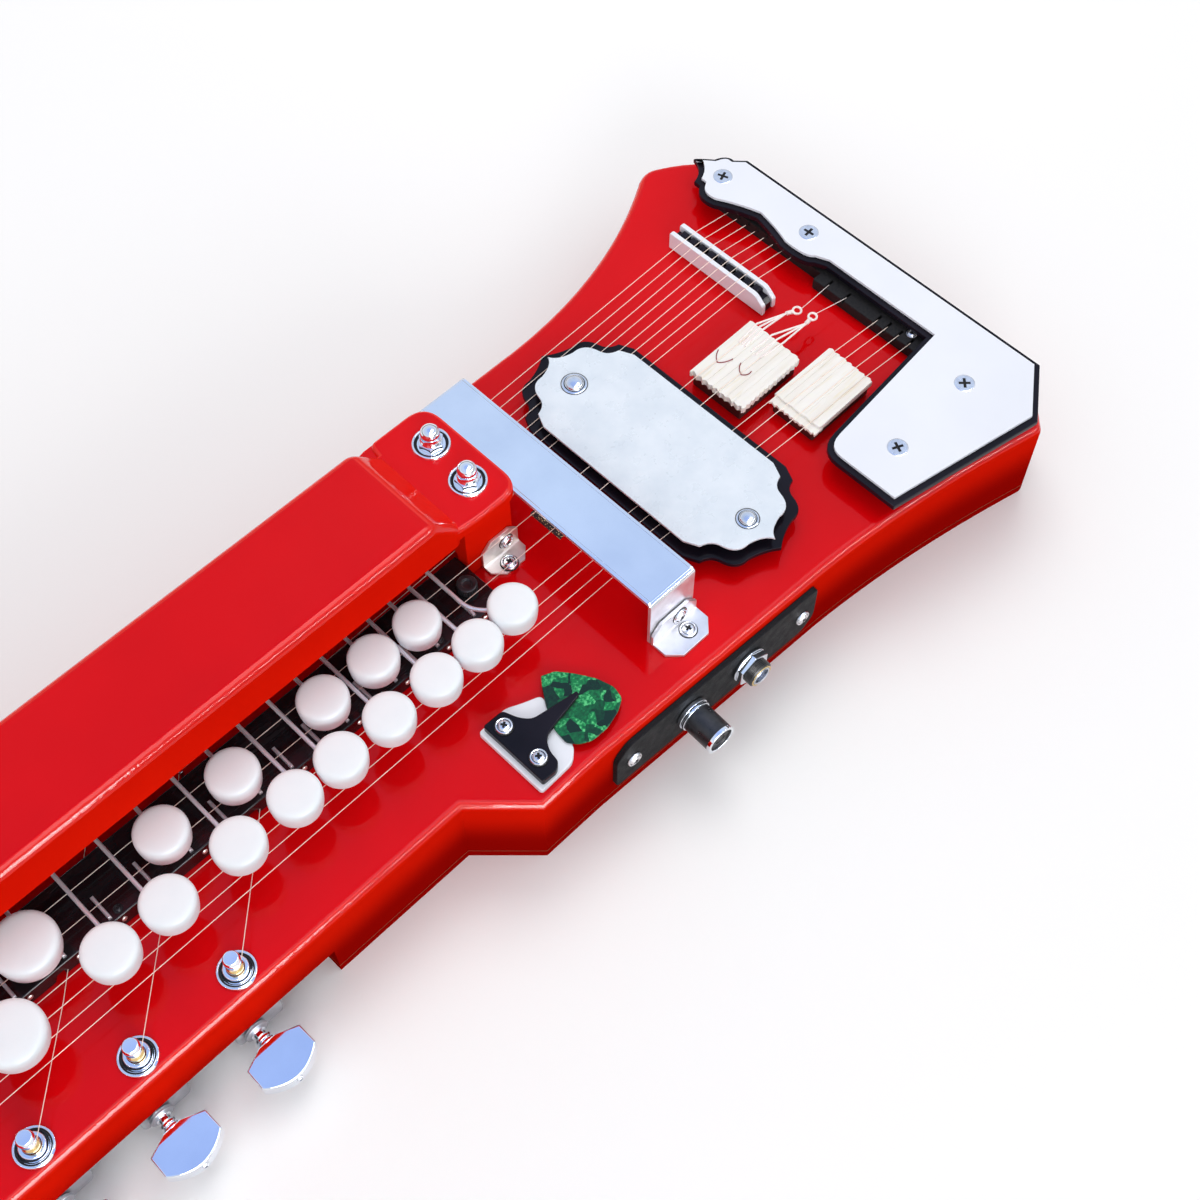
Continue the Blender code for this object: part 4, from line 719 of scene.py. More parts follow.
def makeFretboard():
    near, far = boardSizes["y"]
    left, foot = nutX + 0.0028, deckZ + seat
    top = deckZ + boardSizes["thick"]
    board = block((left, near, foot), (boardSizes["endX"], far, top), boardSizes["round"], 3, "notFoot")
    grooves = bmesh.new()
    for x, y in sidePosts():
        groove = block((-0.03, -0.0015, foot - 0.001), (0.06, 0.0015, foot + boardSizes["groove"]))
        place = Matrix.Translation((x + near - y, near, 0)) @ Matrix.Rotation(math.radians(45), 4, "Z")
        pour(grooves, groove, place)
    addPiece("fretboard", combine(board, grooves), blackBoard, stands=("fretboard",))

    frets = bmesh.new()
    studs = bmesh.new()
    for n in range(keyCount):
        x, half = fretX(n), boardSizes["fretWide"] / 2
        lowY, highY = boardSizes["fretY"]
        bar = block((x - half, lowY, top - 0.001), (x + half, highY, top + boardSizes["fretHigh"]))
        roundOff(bar, edgesAt(bar, top + boardSizes["fretHigh"]), 0.00055, 3)
        pour(frets, bar)
        knob = turned([(0, 0.0005), (0.0008, 0.0004), (boardSizes["studs"], 0.0), (boardSizes["studs"], -0.001), (0, -0.001)], 14)
        pour(studs, knob, facing((0, -1, 0), (x + 0.0036, near, deckZ + 0.0042)))
    addPiece("frets", frets, rodSteel)
    addPiece("fretboardStuds", studs, warmSteel)


makeFretboard()
print("Fretboard made")


# Screws and bolts

def crossShape(reach, wide, low, high):
    cross = block((-reach, -wide, low), (reach, wide, high))
    other = block((-wide, -reach, low), (wide, reach, high))
    return combine(cross, other, "UNION")


def screwHead(kind, radius):
    # the head and a dark fill at the floor of its recess, painted shade, with painted shade rings under and on dome and
    # pan heads; it stands on z = 0, or lies flush with it where countersunk
    if kind == "flat":
        profile = rounded([(0, 0.00025, 0), (radius * 0.93, 0.00025, 0.0003), (radius, 0.0, 0.0001),
                           (radius * 0.6, -0.0012, 0), (0, -0.0012, 0)], 3, False)
        top, reach = 0.00025, 0.56
    elif kind == "dome":
        profile = [(0.0, 0.50), (0.18, 0.492), (0.36, 0.462), (0.52, 0.404), (0.64, 0.326), (0.72, 0.236), (0.765, 0.14),
                   (0.78, 0.08), (0.86, 0.08), (0.95, 0.07), (1.0, 0.03), (1.0, 0.0), (0.0, 0.0)]
        # painted shade: a dark ring under the dome's rim and one on its flange
        dark = ring(radius * 0.6, radius + 0.00030, -0.0002, 0.00012, 0.00005, 40)
        pour(dark, ring(radius * 0.77, radius * 0.83, radius * 0.02, radius * 0.095, 0.00003, 40))
        return turned([(radius * wide, radius * high) for wide, high in profile], 40), dark
    else:
        profile = [(0.0, 0.46), (0.30, 0.455), (0.50, 0.42), (0.60, 0.36), (0.66, 0.25), (0.72, 0.20), (0.78, 0.25),
                   (0.84, 0.30), (0.92, 0.28), (0.98, 0.18), (1.0, 0.03), (0.0, 0.03)]
        profile = [(radius * wide, radius * high) for wide, high in profile]
        top, reach = radius * 0.46, 0.38
    deep, wide = radius * 0.30, radius * 0.14
    recess = crossShape(radius * reach, wide, top - deep, top + 0.001)
    # painted shade filling the cross recess
    dark = crossShape(radius * reach * 0.99, wide * 0.98, top - deep - 0.0001, top - 0.00016)
    if kind == "pan":
        # painted shade: a dark ring under the pan head and one in the groove on its side
        pour(dark, ring(radius * 0.6, radius + 0.00030, -0.0003, 0.00012, 0.00005, 32))
        pour(dark, ring(radius * 0.70, radius * 0.76, radius * 0.10, radius * 0.235, 0.00003, 32))
    return combine(turned(profile, 32), recess), dark


controlSizes = {
    "z": 0.0250, "volumeX": 0.2273, "jackX": 0.2570, "plate": (0.1030, 0.0250, 0.0022), "cutOff": 0.006,
    "knobRadius": 0.0064, "knobLong": 0.0161, "stem": 0.0030, "nut": 0.0078, "nutThick": 0.0036,
    "barrel": 0.0056, "bore": 0.0033, "screwX": (0.1988, 0.2860),
}

screws = [
    # kind, head radius, place, direction, turn in degrees
    ("flat", 0.0042, (0.4101, 0.0705, 0.0535), (0, 0, 1), 20),
    ("flat", 0.0042, (0.4121, 0.0238, 0.0535), (0, 0, 1), 5),
    ("flat", 0.0042, (0.3962, -0.0716, 0.0535), (0, 0, 1), 45),
    ("flat", 0.0042, (0.3540, -0.0730, 0.0535), (0, 0, 1), 65),
    ("dome", 0.0051, (0.2877, 0.0359, 0.0540), (0, 0, 1), 0),
    ("dome", 0.0044, (0.2890, -0.0548, 0.0540), (0, 0, 1), 0),
    ("pan", 0.0033, (0.2434, -0.06375, 0.0487), (0, -1, 0), 30),
    ("pan", 0.0033, (0.2433, -0.0683, 0.0438), (0, 0, 1), 15),
    ("pan", 0.0033, (0.2434, 0.06375, 0.0487), (0, 1, 0), 30),
    ("pan", 0.0033, (0.2433, 0.0683, 0.0438), (0, 0, 1), 60),
    ("pan", 0.0033, (0.2170, -0.0012, 0.0438), (0, 0, 1), 25),
    ("pan", 0.0031, (0.2205, 0.0041, 0.0492), (0, -1, 0), 70),
    ("pan", 0.0033, (0.1672, -0.0511, 0.0478), (0, 0, 1), 35),
    ("pan", 0.0033, (0.1674, -0.0684, 0.0478), (0, 0, 1), 50),
    ("pan", 0.0022, (0.4045, -0.0388, 0.0480), (0, 0, 1), 10),
]


def makeScrews():
    polished, plain, paintedShades = bmesh.new(), bmesh.new(), bmesh.new()
    outward = (boxSizes["controlsSlope"], -1, 0)
    onWall = [
        ("pan", 0.0033, (x, controlsWallY(x) - 0.0026, controlSizes["z"]), outward, 40 * i)
        for i, x in enumerate(controlSizes["screwX"])
    ]
    for kind, radius, place, direction, turn in screws + onWall:
        where = facing(direction, place) @ Matrix.Rotation(math.radians(turn), 4, "Z")
        head, dark = screwHead(kind, radius)
        pour(polished if kind == "dome" else plain, head, where)
        # the dark fills and rings are painted shade
        pour(paintedShades, dark, where)
    addPiece("domeScrews", polished, domeSteel, angle=40)
    addPiece("screws", plain, screwSteel, angle=40)

    small = bmesh.new()
    for x, y in fretboardScrews:
        where = Matrix.Translation((x, y, deckZ + boardSizes["thick"]))
        head, dark = screwHead("pan", 0.0015)
        pour(small, head, where)
        pour(paintedShades, dark, where)
    addPiece("fretboardScrews", small, blackMetal, angle=40)
    addPiece("screwPaintedShade", paintedShades, blackAndPaintedShade, angle=40)


fretboardScrews = ((0.1742, -0.0100), (0.1300, 0.0005), (0.0300, -0.0105), (-0.0700, 0.0005), (-0.2000, -0.0100))
boltSizes = {
    "places": ((0.2165, 0.0371), (0.2149, 0.0158), (-0.2590, 0.0371), (-0.2590, 0.0158)), "washer": 0.0074,
    "flange": 0.0052, "nut": 0.0050, "neck": 0.0033, "cap": 0.0036, "capHigh": 0.0102,
}


def makeBolts():
    top = deckZ + coverSizes["platformHigh"]
    washers, nuts, rings = bmesh.new(), bmesh.new(), bmesh.new()
    wide, flange, neck, cap, high = (boltSizes[key] for key in ("washer", "flange", "neck", "cap", "capHigh"))
    for i, (x, y) in enumerate(boltSizes["places"]):
        place = Matrix.Translation((x, y, top)) @ Matrix.Rotation(0.3 + i * 0.7, 4, "Z")
        profile = rounded([
            (0, 0.0006, 0), (flange, 0.0006, 0), (flange + 0.0003, 0.0002, 0.0001), (flange + 0.0009, 0.0002, 0.0002),
            (flange + 0.0012, 0.0012, 0.0003), (wide - 0.0004, 0.0012, 0.0003), (wide, 0.0004, 0.0002), (wide, 0, 0), (0, 0, 0),
        ], 3, False)
        pour(washers, turned(profile, 56), place)
        # painted shade: a dark ring in the washer's groove
        pour(rings, ring(flange + 0.0003, flange + 0.0009, 0.0001, 0.00045, 0.00005, 56), place)
        pour(nuts, hexagon(boltSizes["nut"], 0.0005, 0.0030), place)
        profile = [(0, high), (cap * 0.38, high - 0.0002), (cap * 0.70, high - 0.0008), (cap * 0.90, high - 0.0016),
                   (cap * 0.985, high - 0.0026), (cap, high - 0.0034), (cap, high - 0.0040), (cap - 0.0001, high - 0.0042),
                   (neck, high - 0.0044), (neck, 0.0042), (neck + 0.0004, 0.0036), (neck + 0.0008, 0.0029), (0, 0.0029)]
        pour(nuts, turned(profile, 40), place)
    addPiece("boltWashers", washers, chrome, angle=30)
    addPiece("boltPaintedShadeRings", rings, blackAndPaintedShade, angle=30)
    addPiece("acornBolts", nuts, chrome, angle=40)


makeScrews()
makeBolts()
print("Screws and bolts made")


# Keys

keySizes = {
    "rodHigh": 0.016, "rodRadius": 0.0008, "underRod": 0.0008, "pivotY": 0.036, "eyeRadius": 0.0032, "eyeWide": 0.005, "pivot": 0.0019,
    "nearRow": (0, 1, 3, 5, 7, 8, 10), "rowY": (-0.0269, -0.0058), "radius": 0.0092, "growth": 0.00004,
    "largeFrom": 14, "largeRadius": 0.0114, "buttonHigh": 0.0093, "firstY": -0.0247,
    "narrow": {2: 0.0088}, "shift": {0: 0.0100, 2: -0.0002, 7: 0.0026, 8: -0.0043, 12: 0.0029, 13: -0.0029, 14: -0.0023, 15: -0.0029},
}
buttonCurve = (
    (0.0, 1.0), (0.45, 0.998), (0.68, 0.992), (0.80, 0.980), (0.875, 0.955), (0.93, 0.915), (0.967, 0.855), (0.99, 0.78),
    (1.0, 0.69), (1.0, 0.58), (0.99, 0.40), (0.965, 0.16), (0.945, 0.04), (0.92, 0.0), (0.0, 0.0),
)


def rodX(n):
    return fretX(n) - 0.0027 - 0.0020 * min(n / 8, 1.0)


def makeKeys():
    z, pivotY = deckZ + keySizes["rodHigh"], keySizes["pivotY"]
    springs = bmesh.new()
    for n in range(keyCount):
        x = rodX(n)
        buttonX = x + keySizes["shift"].get(n, 0.0)
        rowY = keySizes["rowY"][0 if n % 12 in keySizes["nearRow"] else 1]
        route = [(x, pivotY - 0.0024, z), (x, rowY, z)]
        if n == 0:
            rowY = keySizes["firstY"]
            route = bent([route[0], (x, rowY * 0.5, z), (buttonX - 0.002, rowY + 0.004, z), (buttonX, rowY, z)], 0.008, 8)
        radius = keySizes["largeRadius"] if n >= keySizes["largeFrom"] else keySizes["radius"] + keySizes["growth"] * n
        radius = keySizes["narrow"].get(n, radius)
        foot = z - keySizes["underRod"]
        profile = [(radius * wide, keySizes["buttonHigh"] * high) for wide, high in buttonCurve]
        button = pour(bmesh.new(), turned(profile, 56), Matrix.Translation((buttonX, rowY, foot)))
        name = f"key_{n + 1:02d}"
        addPiece(f"button{n + 1:02d}", button, buttonWhite, name, 60, (name,))
        rod = tube(route, keySizes["rodRadius"], 14)
        half = keySizes["eyeWide"] / 2
        eye = ring(keySizes["pivot"], keySizes["eyeRadius"], -half, half, 0.0003, 24)
        pour(rod, eye, facing((1, 0, 0), (x, pivotY, z)))
        addPiece(f"keyRod{n + 1:02d}", rod, rodSteel, name)
        spring = coil(0.0023, 0.0003, 0.0008, 2.5, 12, 6)
        pour(springs, spring, facing((1, 0, 0), (x + half + 0.0004, pivotY, z)))
    addPiece("keySprings", springs, steel)
    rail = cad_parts["key_rail"].data.materials
    rail.clear()
    rail.append(steel)


makeKeys()
print("Keys made")


# Hand rest with its two angles

restSizes = {
    "x": (0.2297, 0.2525), "y": (-0.0618, 0.0610), "high": 0.026, "sheet": 0.0015, "bend": 0.0022,
    "angleFoot": 0.0123, "angleLeg": 0.0108, "corner": 0.0045, "angleSheet": 0.0014,
    "lip": 0.0012, "groove": 0.0003,
}


def makeHandRest():
    left, right = restSizes["x"]
    near, far = restSizes["y"]
    thick, high, bend = restSizes["sheet"], restSizes["high"], restSizes["bend"]
    inner = bend - thick
    outline = rounded([
        (near, seat, 0), (near, high, bend), (far, high, bend), (far, seat, 0),
        (far - thick, seat, 0), (far - thick, high - thick, inner), (near + thick, high - thick, inner), (near + thick, seat, 0),
    ], 6)
    across = Matrix(((0, 0, 1, left), (1, 0, 0, 0), (0, 1, 0, deckZ), (0, 0, 0, 1)))
    bar = pour(bmesh.new(), sheet(outline, 0, right - left, 0.0003, 0.0003, 2), across)
    top, inset, groove = deckZ + high, restSizes["lip"], restSizes["groove"]
    for x in (left + inset, right - inset - groove):
        bar = combine(bar, block((x, near - 0.001, top - groove * 0.8), (x + groove, far + 0.001, top + 0.001)))
    addPiece("handRestBar", bar, chrome, stands=("hand_rest",), walls=satinSheet)

    angles = bmesh.new()
    sheetThick, leg, foot, corner = (restSizes[key] for key in ("angleSheet", "angleLeg", "angleFoot", "corner"))
    for side, wall in ((-1, near), (1, far)):
        face = side * 0.00045  # small gap between bar and angle
        outline = rounded([
            (face, seat, 0), (side * (foot + 0.0004), seat, 0), (side * (foot + 0.0004), seat + sheetThick, 0),
            (side * sheetThick + face, seat + sheetThick, 0.0006), (side * sheetThick + face, leg, 0), (face, leg, 0),
        ], 4)
        shape = sheet(outline, 0, right - left)
        bmesh.ops.recalc_face_normals(shape, faces=shape.faces)
        part = pour(bmesh.new(), shape, Matrix(((0, 0, 1, left), (1, 0, 0, wall), (0, 1, 0, deckZ), (0, 0, 0, 1))))
        for end, x in ((-1, left), (1, right)):
            trimmed(part, (x, wall, deckZ + leg - corner), Vector((end, 0, 1)).normalized())
            trimmed(part, (x, wall + side * (foot - corner), deckZ), Vector((end, side, 0)).normalized())
        roundOff(part, sharpEdges(part, 60), 0.00025, 2)
        pour(angles, part)
    addPiece("handRestAngles", angles, satinSheet)


makeHandRest()
print("Hand rest made")


# Name plate, left bare

nameSizes = {
    "centre": (0.2898, -0.0075), "baseCentre": (0.2908, -0.0065), "halfWide": 0.0250, "halfLong": 0.0605,
    "border": 0.0037, "baseHigh": 0.0076, "baseThick": 0.002, "plateHigh": 0.0120, "plateThick": 0.001,
    "posts": ((0.2877, 0.0359), (0.2890, -0.0548)),
}


def bracketOutline(centre, grow):
    wide, long = nameSizes["halfWide"] + grow, nameSizes["halfLong"] + grow
    quarter = [(wide, 0.0), (wide, long - 0.0235), (wide - 0.0028, long - 0.0175)]
    quarter += arcBetween(quarter[-1], (wide - 0.0075, long - 0.0165), (wide - 0.0085, long - 0.0125), 6)
    quarter += arcBetween(quarter[-1], (wide - 0.0100, long - 0.0050), (wide - 0.0165, long - 0.0055), 8)
    quarter += arcBetween(quarter[-1], (wide - 0.0235, long - 0.0040), (0.0, long), 8)
    upper = quarter + [(-x, y) for x, y in reversed(quarter[:-1])]
    lower = [(-x, -y) for x, y in upper[1:-1]]
    return [(centre[0] + x, centre[1] + y) for x, y in upper + lower]


def makeNamePlate():
    top = deckZ + nameSizes["baseHigh"]
    outline = bracketOutline(nameSizes["baseCentre"], nameSizes["border"])
    base = sheet(outline, top - nameSizes["baseThick"], top, 0.00035, 0.0002, 2)
    under = deckZ + nameSizes["plateHigh"] - nameSizes["plateThick"] - seat
    for x, y in nameSizes["posts"]:
        post = turned([(0, under), (0.0019, under), (0.0019, deckZ + seat), (0, deckZ + seat)], 20)
        base = combine(base, pour(bmesh.new(), post, Matrix.Translation((x, y, 0))), "UNION")
    addPiece("namePlateBase", base, blackPlate, stands=("name_plate_base",))
    top = deckZ + nameSizes["plateHigh"]
    plate = sheet(bracketOutline(nameSizes["centre"], 0.0), top - nameSizes["plateThick"], top, 0.0003, 0.0002, 2)
    addPiece("namePlate", plate, hammered, stands=("name_plate",))


makeNamePlate()
print("Name plate made")


# Tail cover, its underlay and the tailpiece

tailSizes = {
    "outerX": 0.4255, "armX": 0.4045, "blockX": 0.3329, "blockY": -0.0510, "slopeY": (-0.0893, -0.1028),
    "tipY": 0.0873, "border": 0.0025, "under": 0.0075, "baseThick": 0.0025, "topThick": 0.0012,
    "posts": ((0.4101, 0.0705), (0.4121, 0.0238), (0.3962, -0.0716), (0.3540, -0.0730)), "postRadius": 0.004,
    "barX": (0.3985, 0.4062), "barY": (-0.0500, 0.0660), "barHigh": 0.0060, "barStep": 0.0085,
}


def tailCoverOutline():
    outer, arm = tailSizes["outerX"], tailSizes["armX"]
    nearLeft, nearRight = tailSizes["slopeY"]
    tip, left, inner = tailSizes["tipY"], tailSizes["blockX"], tailSizes["blockY"]
    points = [(left, nearLeft), (outer - 0.0225, nearRight), (outer, nearRight + 0.0164)]
    points += [(outer, tip - 0.017), (outer - 0.004, tip - 0.0128)]
    points += arcBetween(points[-1], (outer - 0.0035, tip - 0.0085), (outer - 0.0095, tip - 0.0065), 6)
    points += arcBetween(points[-1], (outer - 0.0135, tip - 0.0015), (outer - 0.0155, tip), 6)
    points += arcBetween(points[-1], (outer - 0.0175, tip - 0.0075), (outer - 0.0248, tip - 0.0092), 6)
    points += [(outer - 0.0250, tip - 0.0125)]
    points += arcBetween(points[-1], (outer - 0.0312, tip - 0.0155), (outer - 0.0290, tip - 0.0240), 8)
    points += arcBetween(points[-1], (arm - 0.003, tip - 0.033), (arm - 0.0005, tip - 0.0420), 8)
    points += arcBetween(points[-1], (arm - 0.002, tip - 0.0510), (arm - 0.0050, tip - 0.0590), 6)
    points += arcBetween(points[-1], (arm - 0.006, tip - 0.0720), (arm - 0.0020, tip - 0.0752), 6)
    points += [(arm, tip - 0.0800)]
    points += [(arm, inner + 0.0055), (left + 0.0100, inner + 0.0003)]
    return points + arcBetween(points[-1], (left, inner - 0.0006), (left, inner - 0.0100), 6)


def insideOutline(points, border):
    # the outline that keeps the border's distance inside another one
    form = bmesh.new()
    face = form.faces.new([form.verts.new((x, y, 0)) for x, y in points])
    form.normal_update()
    bmesh.ops.inset_region(form, faces=[face], thickness=border, use_boundary=True, use_even_offset=True)
    inner = [tuple(vert.co.xy) for vert in face.verts]
    form.free()
    return inner


def makeTail():
    under = deckZ + tailSizes["under"]
    top = under + tailSizes["baseThick"]
    base = sheet(tailCoverOutline(), under, top, 0.0004, 0.0003, 2)
    for x, y in tailSizes["posts"]:
        radius = tailSizes["postRadius"]
        post = turned([(0, under + 0.001), (radius, under + 0.001), (radius, deckZ + seat), (0, deckZ + seat)], 24)
        base = combine(base, pour(bmesh.new(), post, Matrix.Translation((x, y, 0))), "UNION")
    addPiece("tailCoverUnderlay", base, blackPlate, stands=("tail_cover_base",))
    low = top + seat
    outline = insideOutline(tailCoverOutline(), tailSizes["border"])
    addPiece("tailCover", sheet(outline, low, low + tailSizes["topThick"], 0.0003, 0.0002, 2), whitePlate, stands=("tail_cover",))

    (left, right), (near, far) = tailSizes["barX"], tailSizes["barY"]
    high = deckZ + tailSizes["barHigh"]
    bar = block((left, near, deckZ + seat), (right, far, high), 0.0006, 3)
    bar = combine(bar, block((left - 0.001, tailSizes["barStep"], deckZ), (left + 0.0046, far + 0.001, high + 0.001)))
    slots = bmesh.new()
    for y in (*sympatheticYs(), *stringSizes["melodyTailY"], *stringSizes["droneTailY"]):
        pour(slots, block((left - 0.001, y - 0.0006, high - 0.0022), (left + 0.0050, y + 0.0006, high + 0.001)))
    addPiece("tailpiece", combine(bar, slots), blackAndPaintedShade, stands=("tailpiece",))


# Bridges, nut and strings

bridgeSizes = {
    "sympathetic": {"x": (0.3728, 0.3812), "y": (0.0133, 0.0660), "high": 0.0090, "tip": (0.0047, 0.0040),
                    "firstY": 0.0231, "pitch": 0.00507, "insert": 0.0019},
    "melody": {"high": 0.0101, "thick": 0.0030, "foot": (0.3272, -0.0163, 0.3598, 0.0092), "middle": 0.3430,
               "edges": (((0.3255, 0.0094), (0.3612, 0.0098), 0, 0.0), ((0.3612, 0.0098), (0.3604, -0.0172), 7, 0.0006),
                         ((0.3604, -0.0172), (0.3260, -0.0177), 13, 0.0007), ((0.3260, -0.0177), (0.3255, 0.0094), 9, -0.0010)),
               "grooves": (-0.0132, -0.0096, -0.0062, -0.0025, 0.0012, 0.0047)},
    "drone": {"high": 0.0081, "thick": 0.0028, "foot": (0.3396, -0.0434, 0.3730, -0.0224), "middle": 0.3563,
              "edges": (((0.3422, -0.0209), (0.3745, -0.0209), 0, 0.0), ((0.3745, -0.0209), (0.3737, -0.0440), 7, 0.0007),
                        ((0.3737, -0.0440), (0.3422, -0.0444), 0, 0.0), ((0.3422, -0.0444), (0.3422, -0.0209), 3, 0.0004)),
              "grooves": (-0.0405, -0.0360, -0.0305, -0.0252),
              "ledge": (((0.3384, -0.0212), (0.3440, -0.0212), 0, 0.0), ((0.3440, -0.0212), (0.3440, -0.0446), 0, 0.0),
                        ((0.3440, -0.0446), (0.3386, -0.0448), 2, 0.0003), ((0.3386, -0.0448), (0.3384, -0.0212), 9, -0.0008))},
}
stringSizes = {
    "radius": 0.00015, "melodyY": (-0.0062, 0.0042), "melodyBridgeY": (-0.0054, 0.0055), "melodyTailY": (-0.0075, 0.0021),
    "melodyHigh": 0.0105, "droneHigh": 0.0055, "droneY": (-0.0365, -0.0298, -0.0232, -0.0165),
    "droneRestY": (-0.0354, -0.0304, -0.0250, -0.0190), "droneLeftY": (-0.0402, -0.0345, -0.0279, -0.0221),
    "droneRightY": (-0.0408, -0.0350, -0.0290, -0.0237), "droneTailY": (-0.0412, -0.0352, -0.0293, -0.0241),
    "restX": 0.2410, "pinX": (0.2515, 0.2300), "pinY": (0.0229, 0.0273, 0.0316, 0.0355, 0.0403, 0.0442, 0.0499, 0.0552),
    "laneY": ((0.0145, 0.0036), (0.0140, 0.0034)), "tunnelHigh": 0.0077, "pinHigh": 0.0080, "underHigh": 0.0021,
}


def sympatheticYs():
    sizes = bridgeSizes["sympathetic"]
    return [sizes["firstY"] + i * sizes["pitch"] for i in range(8)]


makeTail()
print("Tail made")


def makeSympatheticBridge():
    sizes = bridgeSizes["sympathetic"]
    (left, right), (near, far) = sizes["x"], sizes["y"]
    foot, top = deckZ + seat, deckZ + sizes["high"]
    along, down = sizes["tip"]
    upright = Matrix(((0, 0, 1, 0), (1, 0, 0, 0), (0, 1, 0, 0), (0, 0, 0, 1)))
    rails = bmesh.new()
    for low, high in ((left, left + 0.0022), (right - 0.0022, right)):
        outline = rounded([(near, foot, 0), (far, foot, 0), (far, top, 0.0012), (near + along, top, 0.0016), (near, top - down, 0.0008)], 4)
        pour(rails, sheet(outline, 0, high - low, 0.0004, 0.0004, 2), Matrix.Translation((low, 0, 0)) @ upright)
    addPiece("bridgeRails", rails, whitePlate, stands=("sympathetic_bridge",))

    inserts = bmesh.new()
    outline = [(near + 0.0006, foot), (far - 0.0006, foot), (far - 0.0006, top - 0.0030), (near + 0.0024, top - 0.0030),
               (near + 0.0006, top - down - 0.0006)]
    core = sheet(outline, 0, right - left - 0.0046, 0.0002, 0.0002, 1)
    pour(inserts, core, Matrix.Translation((left + 0.0023, 0, 0)) @ upright)
    half, peak = sizes["insert"], top - 0.0002
    first = sizes["firstY"] - sizes["pitch"] / 2
    for i in range(9):
        y = first + i * sizes["pitch"]
        piece = block((left + 0.0024, y - half, top - 0.0040), (right - 0.0024, y + half, peak))
        roundOff(piece, edgesAt(piece, peak), 0.0013, 5)
        pour(inserts, piece)
    addPiece("bridgeInserts", inserts, blackPlate)


def jagged(edges):
    # each edge: start, end, number of teeth, and how far they stand out or in
    points = []
    for start, end, teeth, depth in edges:
        start, end = Vector(start), Vector(end)
        along = end - start
        out = Vector((-along.y, along.x)).normalized() * depth
        points.append(tuple(start))
        for i in range(teeth):
            for part, reach in ((0.30, 1.0), (0.62, 1.0), (0.80, 0.0)):
                point = start + along * ((i + part * random.uniform(0.85, 1.15)) / teeth) + out * reach * random.uniform(0.4, 1.0)
                points.append(tuple(point))
    return points[::-1]


def makeFlatBridge(name, node):
    sizes = bridgeSizes[name]
    top = deckZ + sizes["high"]
    low = top - sizes["thick"]
    plate = sheet(jagged(sizes["edges"]), low, top, 0.0002, 0.0001, 2)
    for y in sizes["grooves"]:
        groove = block((0.32, y - 0.00022, top - 0.00022), (0.38, y + 0.00022, top + 0.001))
        plate = combine(plate, groove)
    if "ledge" in sizes:
        pour(plate, sheet(jagged(sizes["ledge"]), low + 0.0002, top - 0.0013, 0.0002, 0.0001, 2))
    addPiece(f"{name}Bridge", plate, ivory, stands=(node,))
    left, near, right, far = sizes["foot"]
    foot = block((left, near, deckZ + seat), (right, far, low + 0.0003), 0.0008, 3)
    addPiece(f"{name}BridgeFoot", foot, darkWood)


def makeNut():
    left, right = nutX - 0.0025, nutX + 0.0025
    foot = deckZ + seat
    low, high = deckZ + 0.0051, deckZ + 0.0101
    nut = block((left, -0.0405, foot), (right, 0.0082, low), 0.0008, 3, "top")
    step = block((left, -0.01135, foot + 0.0002), (right, 0.0082, high), 0.0008, 3, "top")
    addPiece("nut", combine(nut, step, "UNION"), ivory, stands=("nut",))


makeSympatheticBridge()
makeFlatBridge("melody", "melody_bridge")
makeFlatBridge("drone", "drone_bridge")
makeNut()
print("Bridges made")


def aroundPost(x, y, high):
    # a few turns of wire on a post's waist
    wire = stringSizes["radius"]
    return pour(bmesh.new(), coil(0.0022 + wire, wire, wire * 2.1, 3, 16, 6), Matrix.Translation((x, y, deckZ + high - 0.0012)))


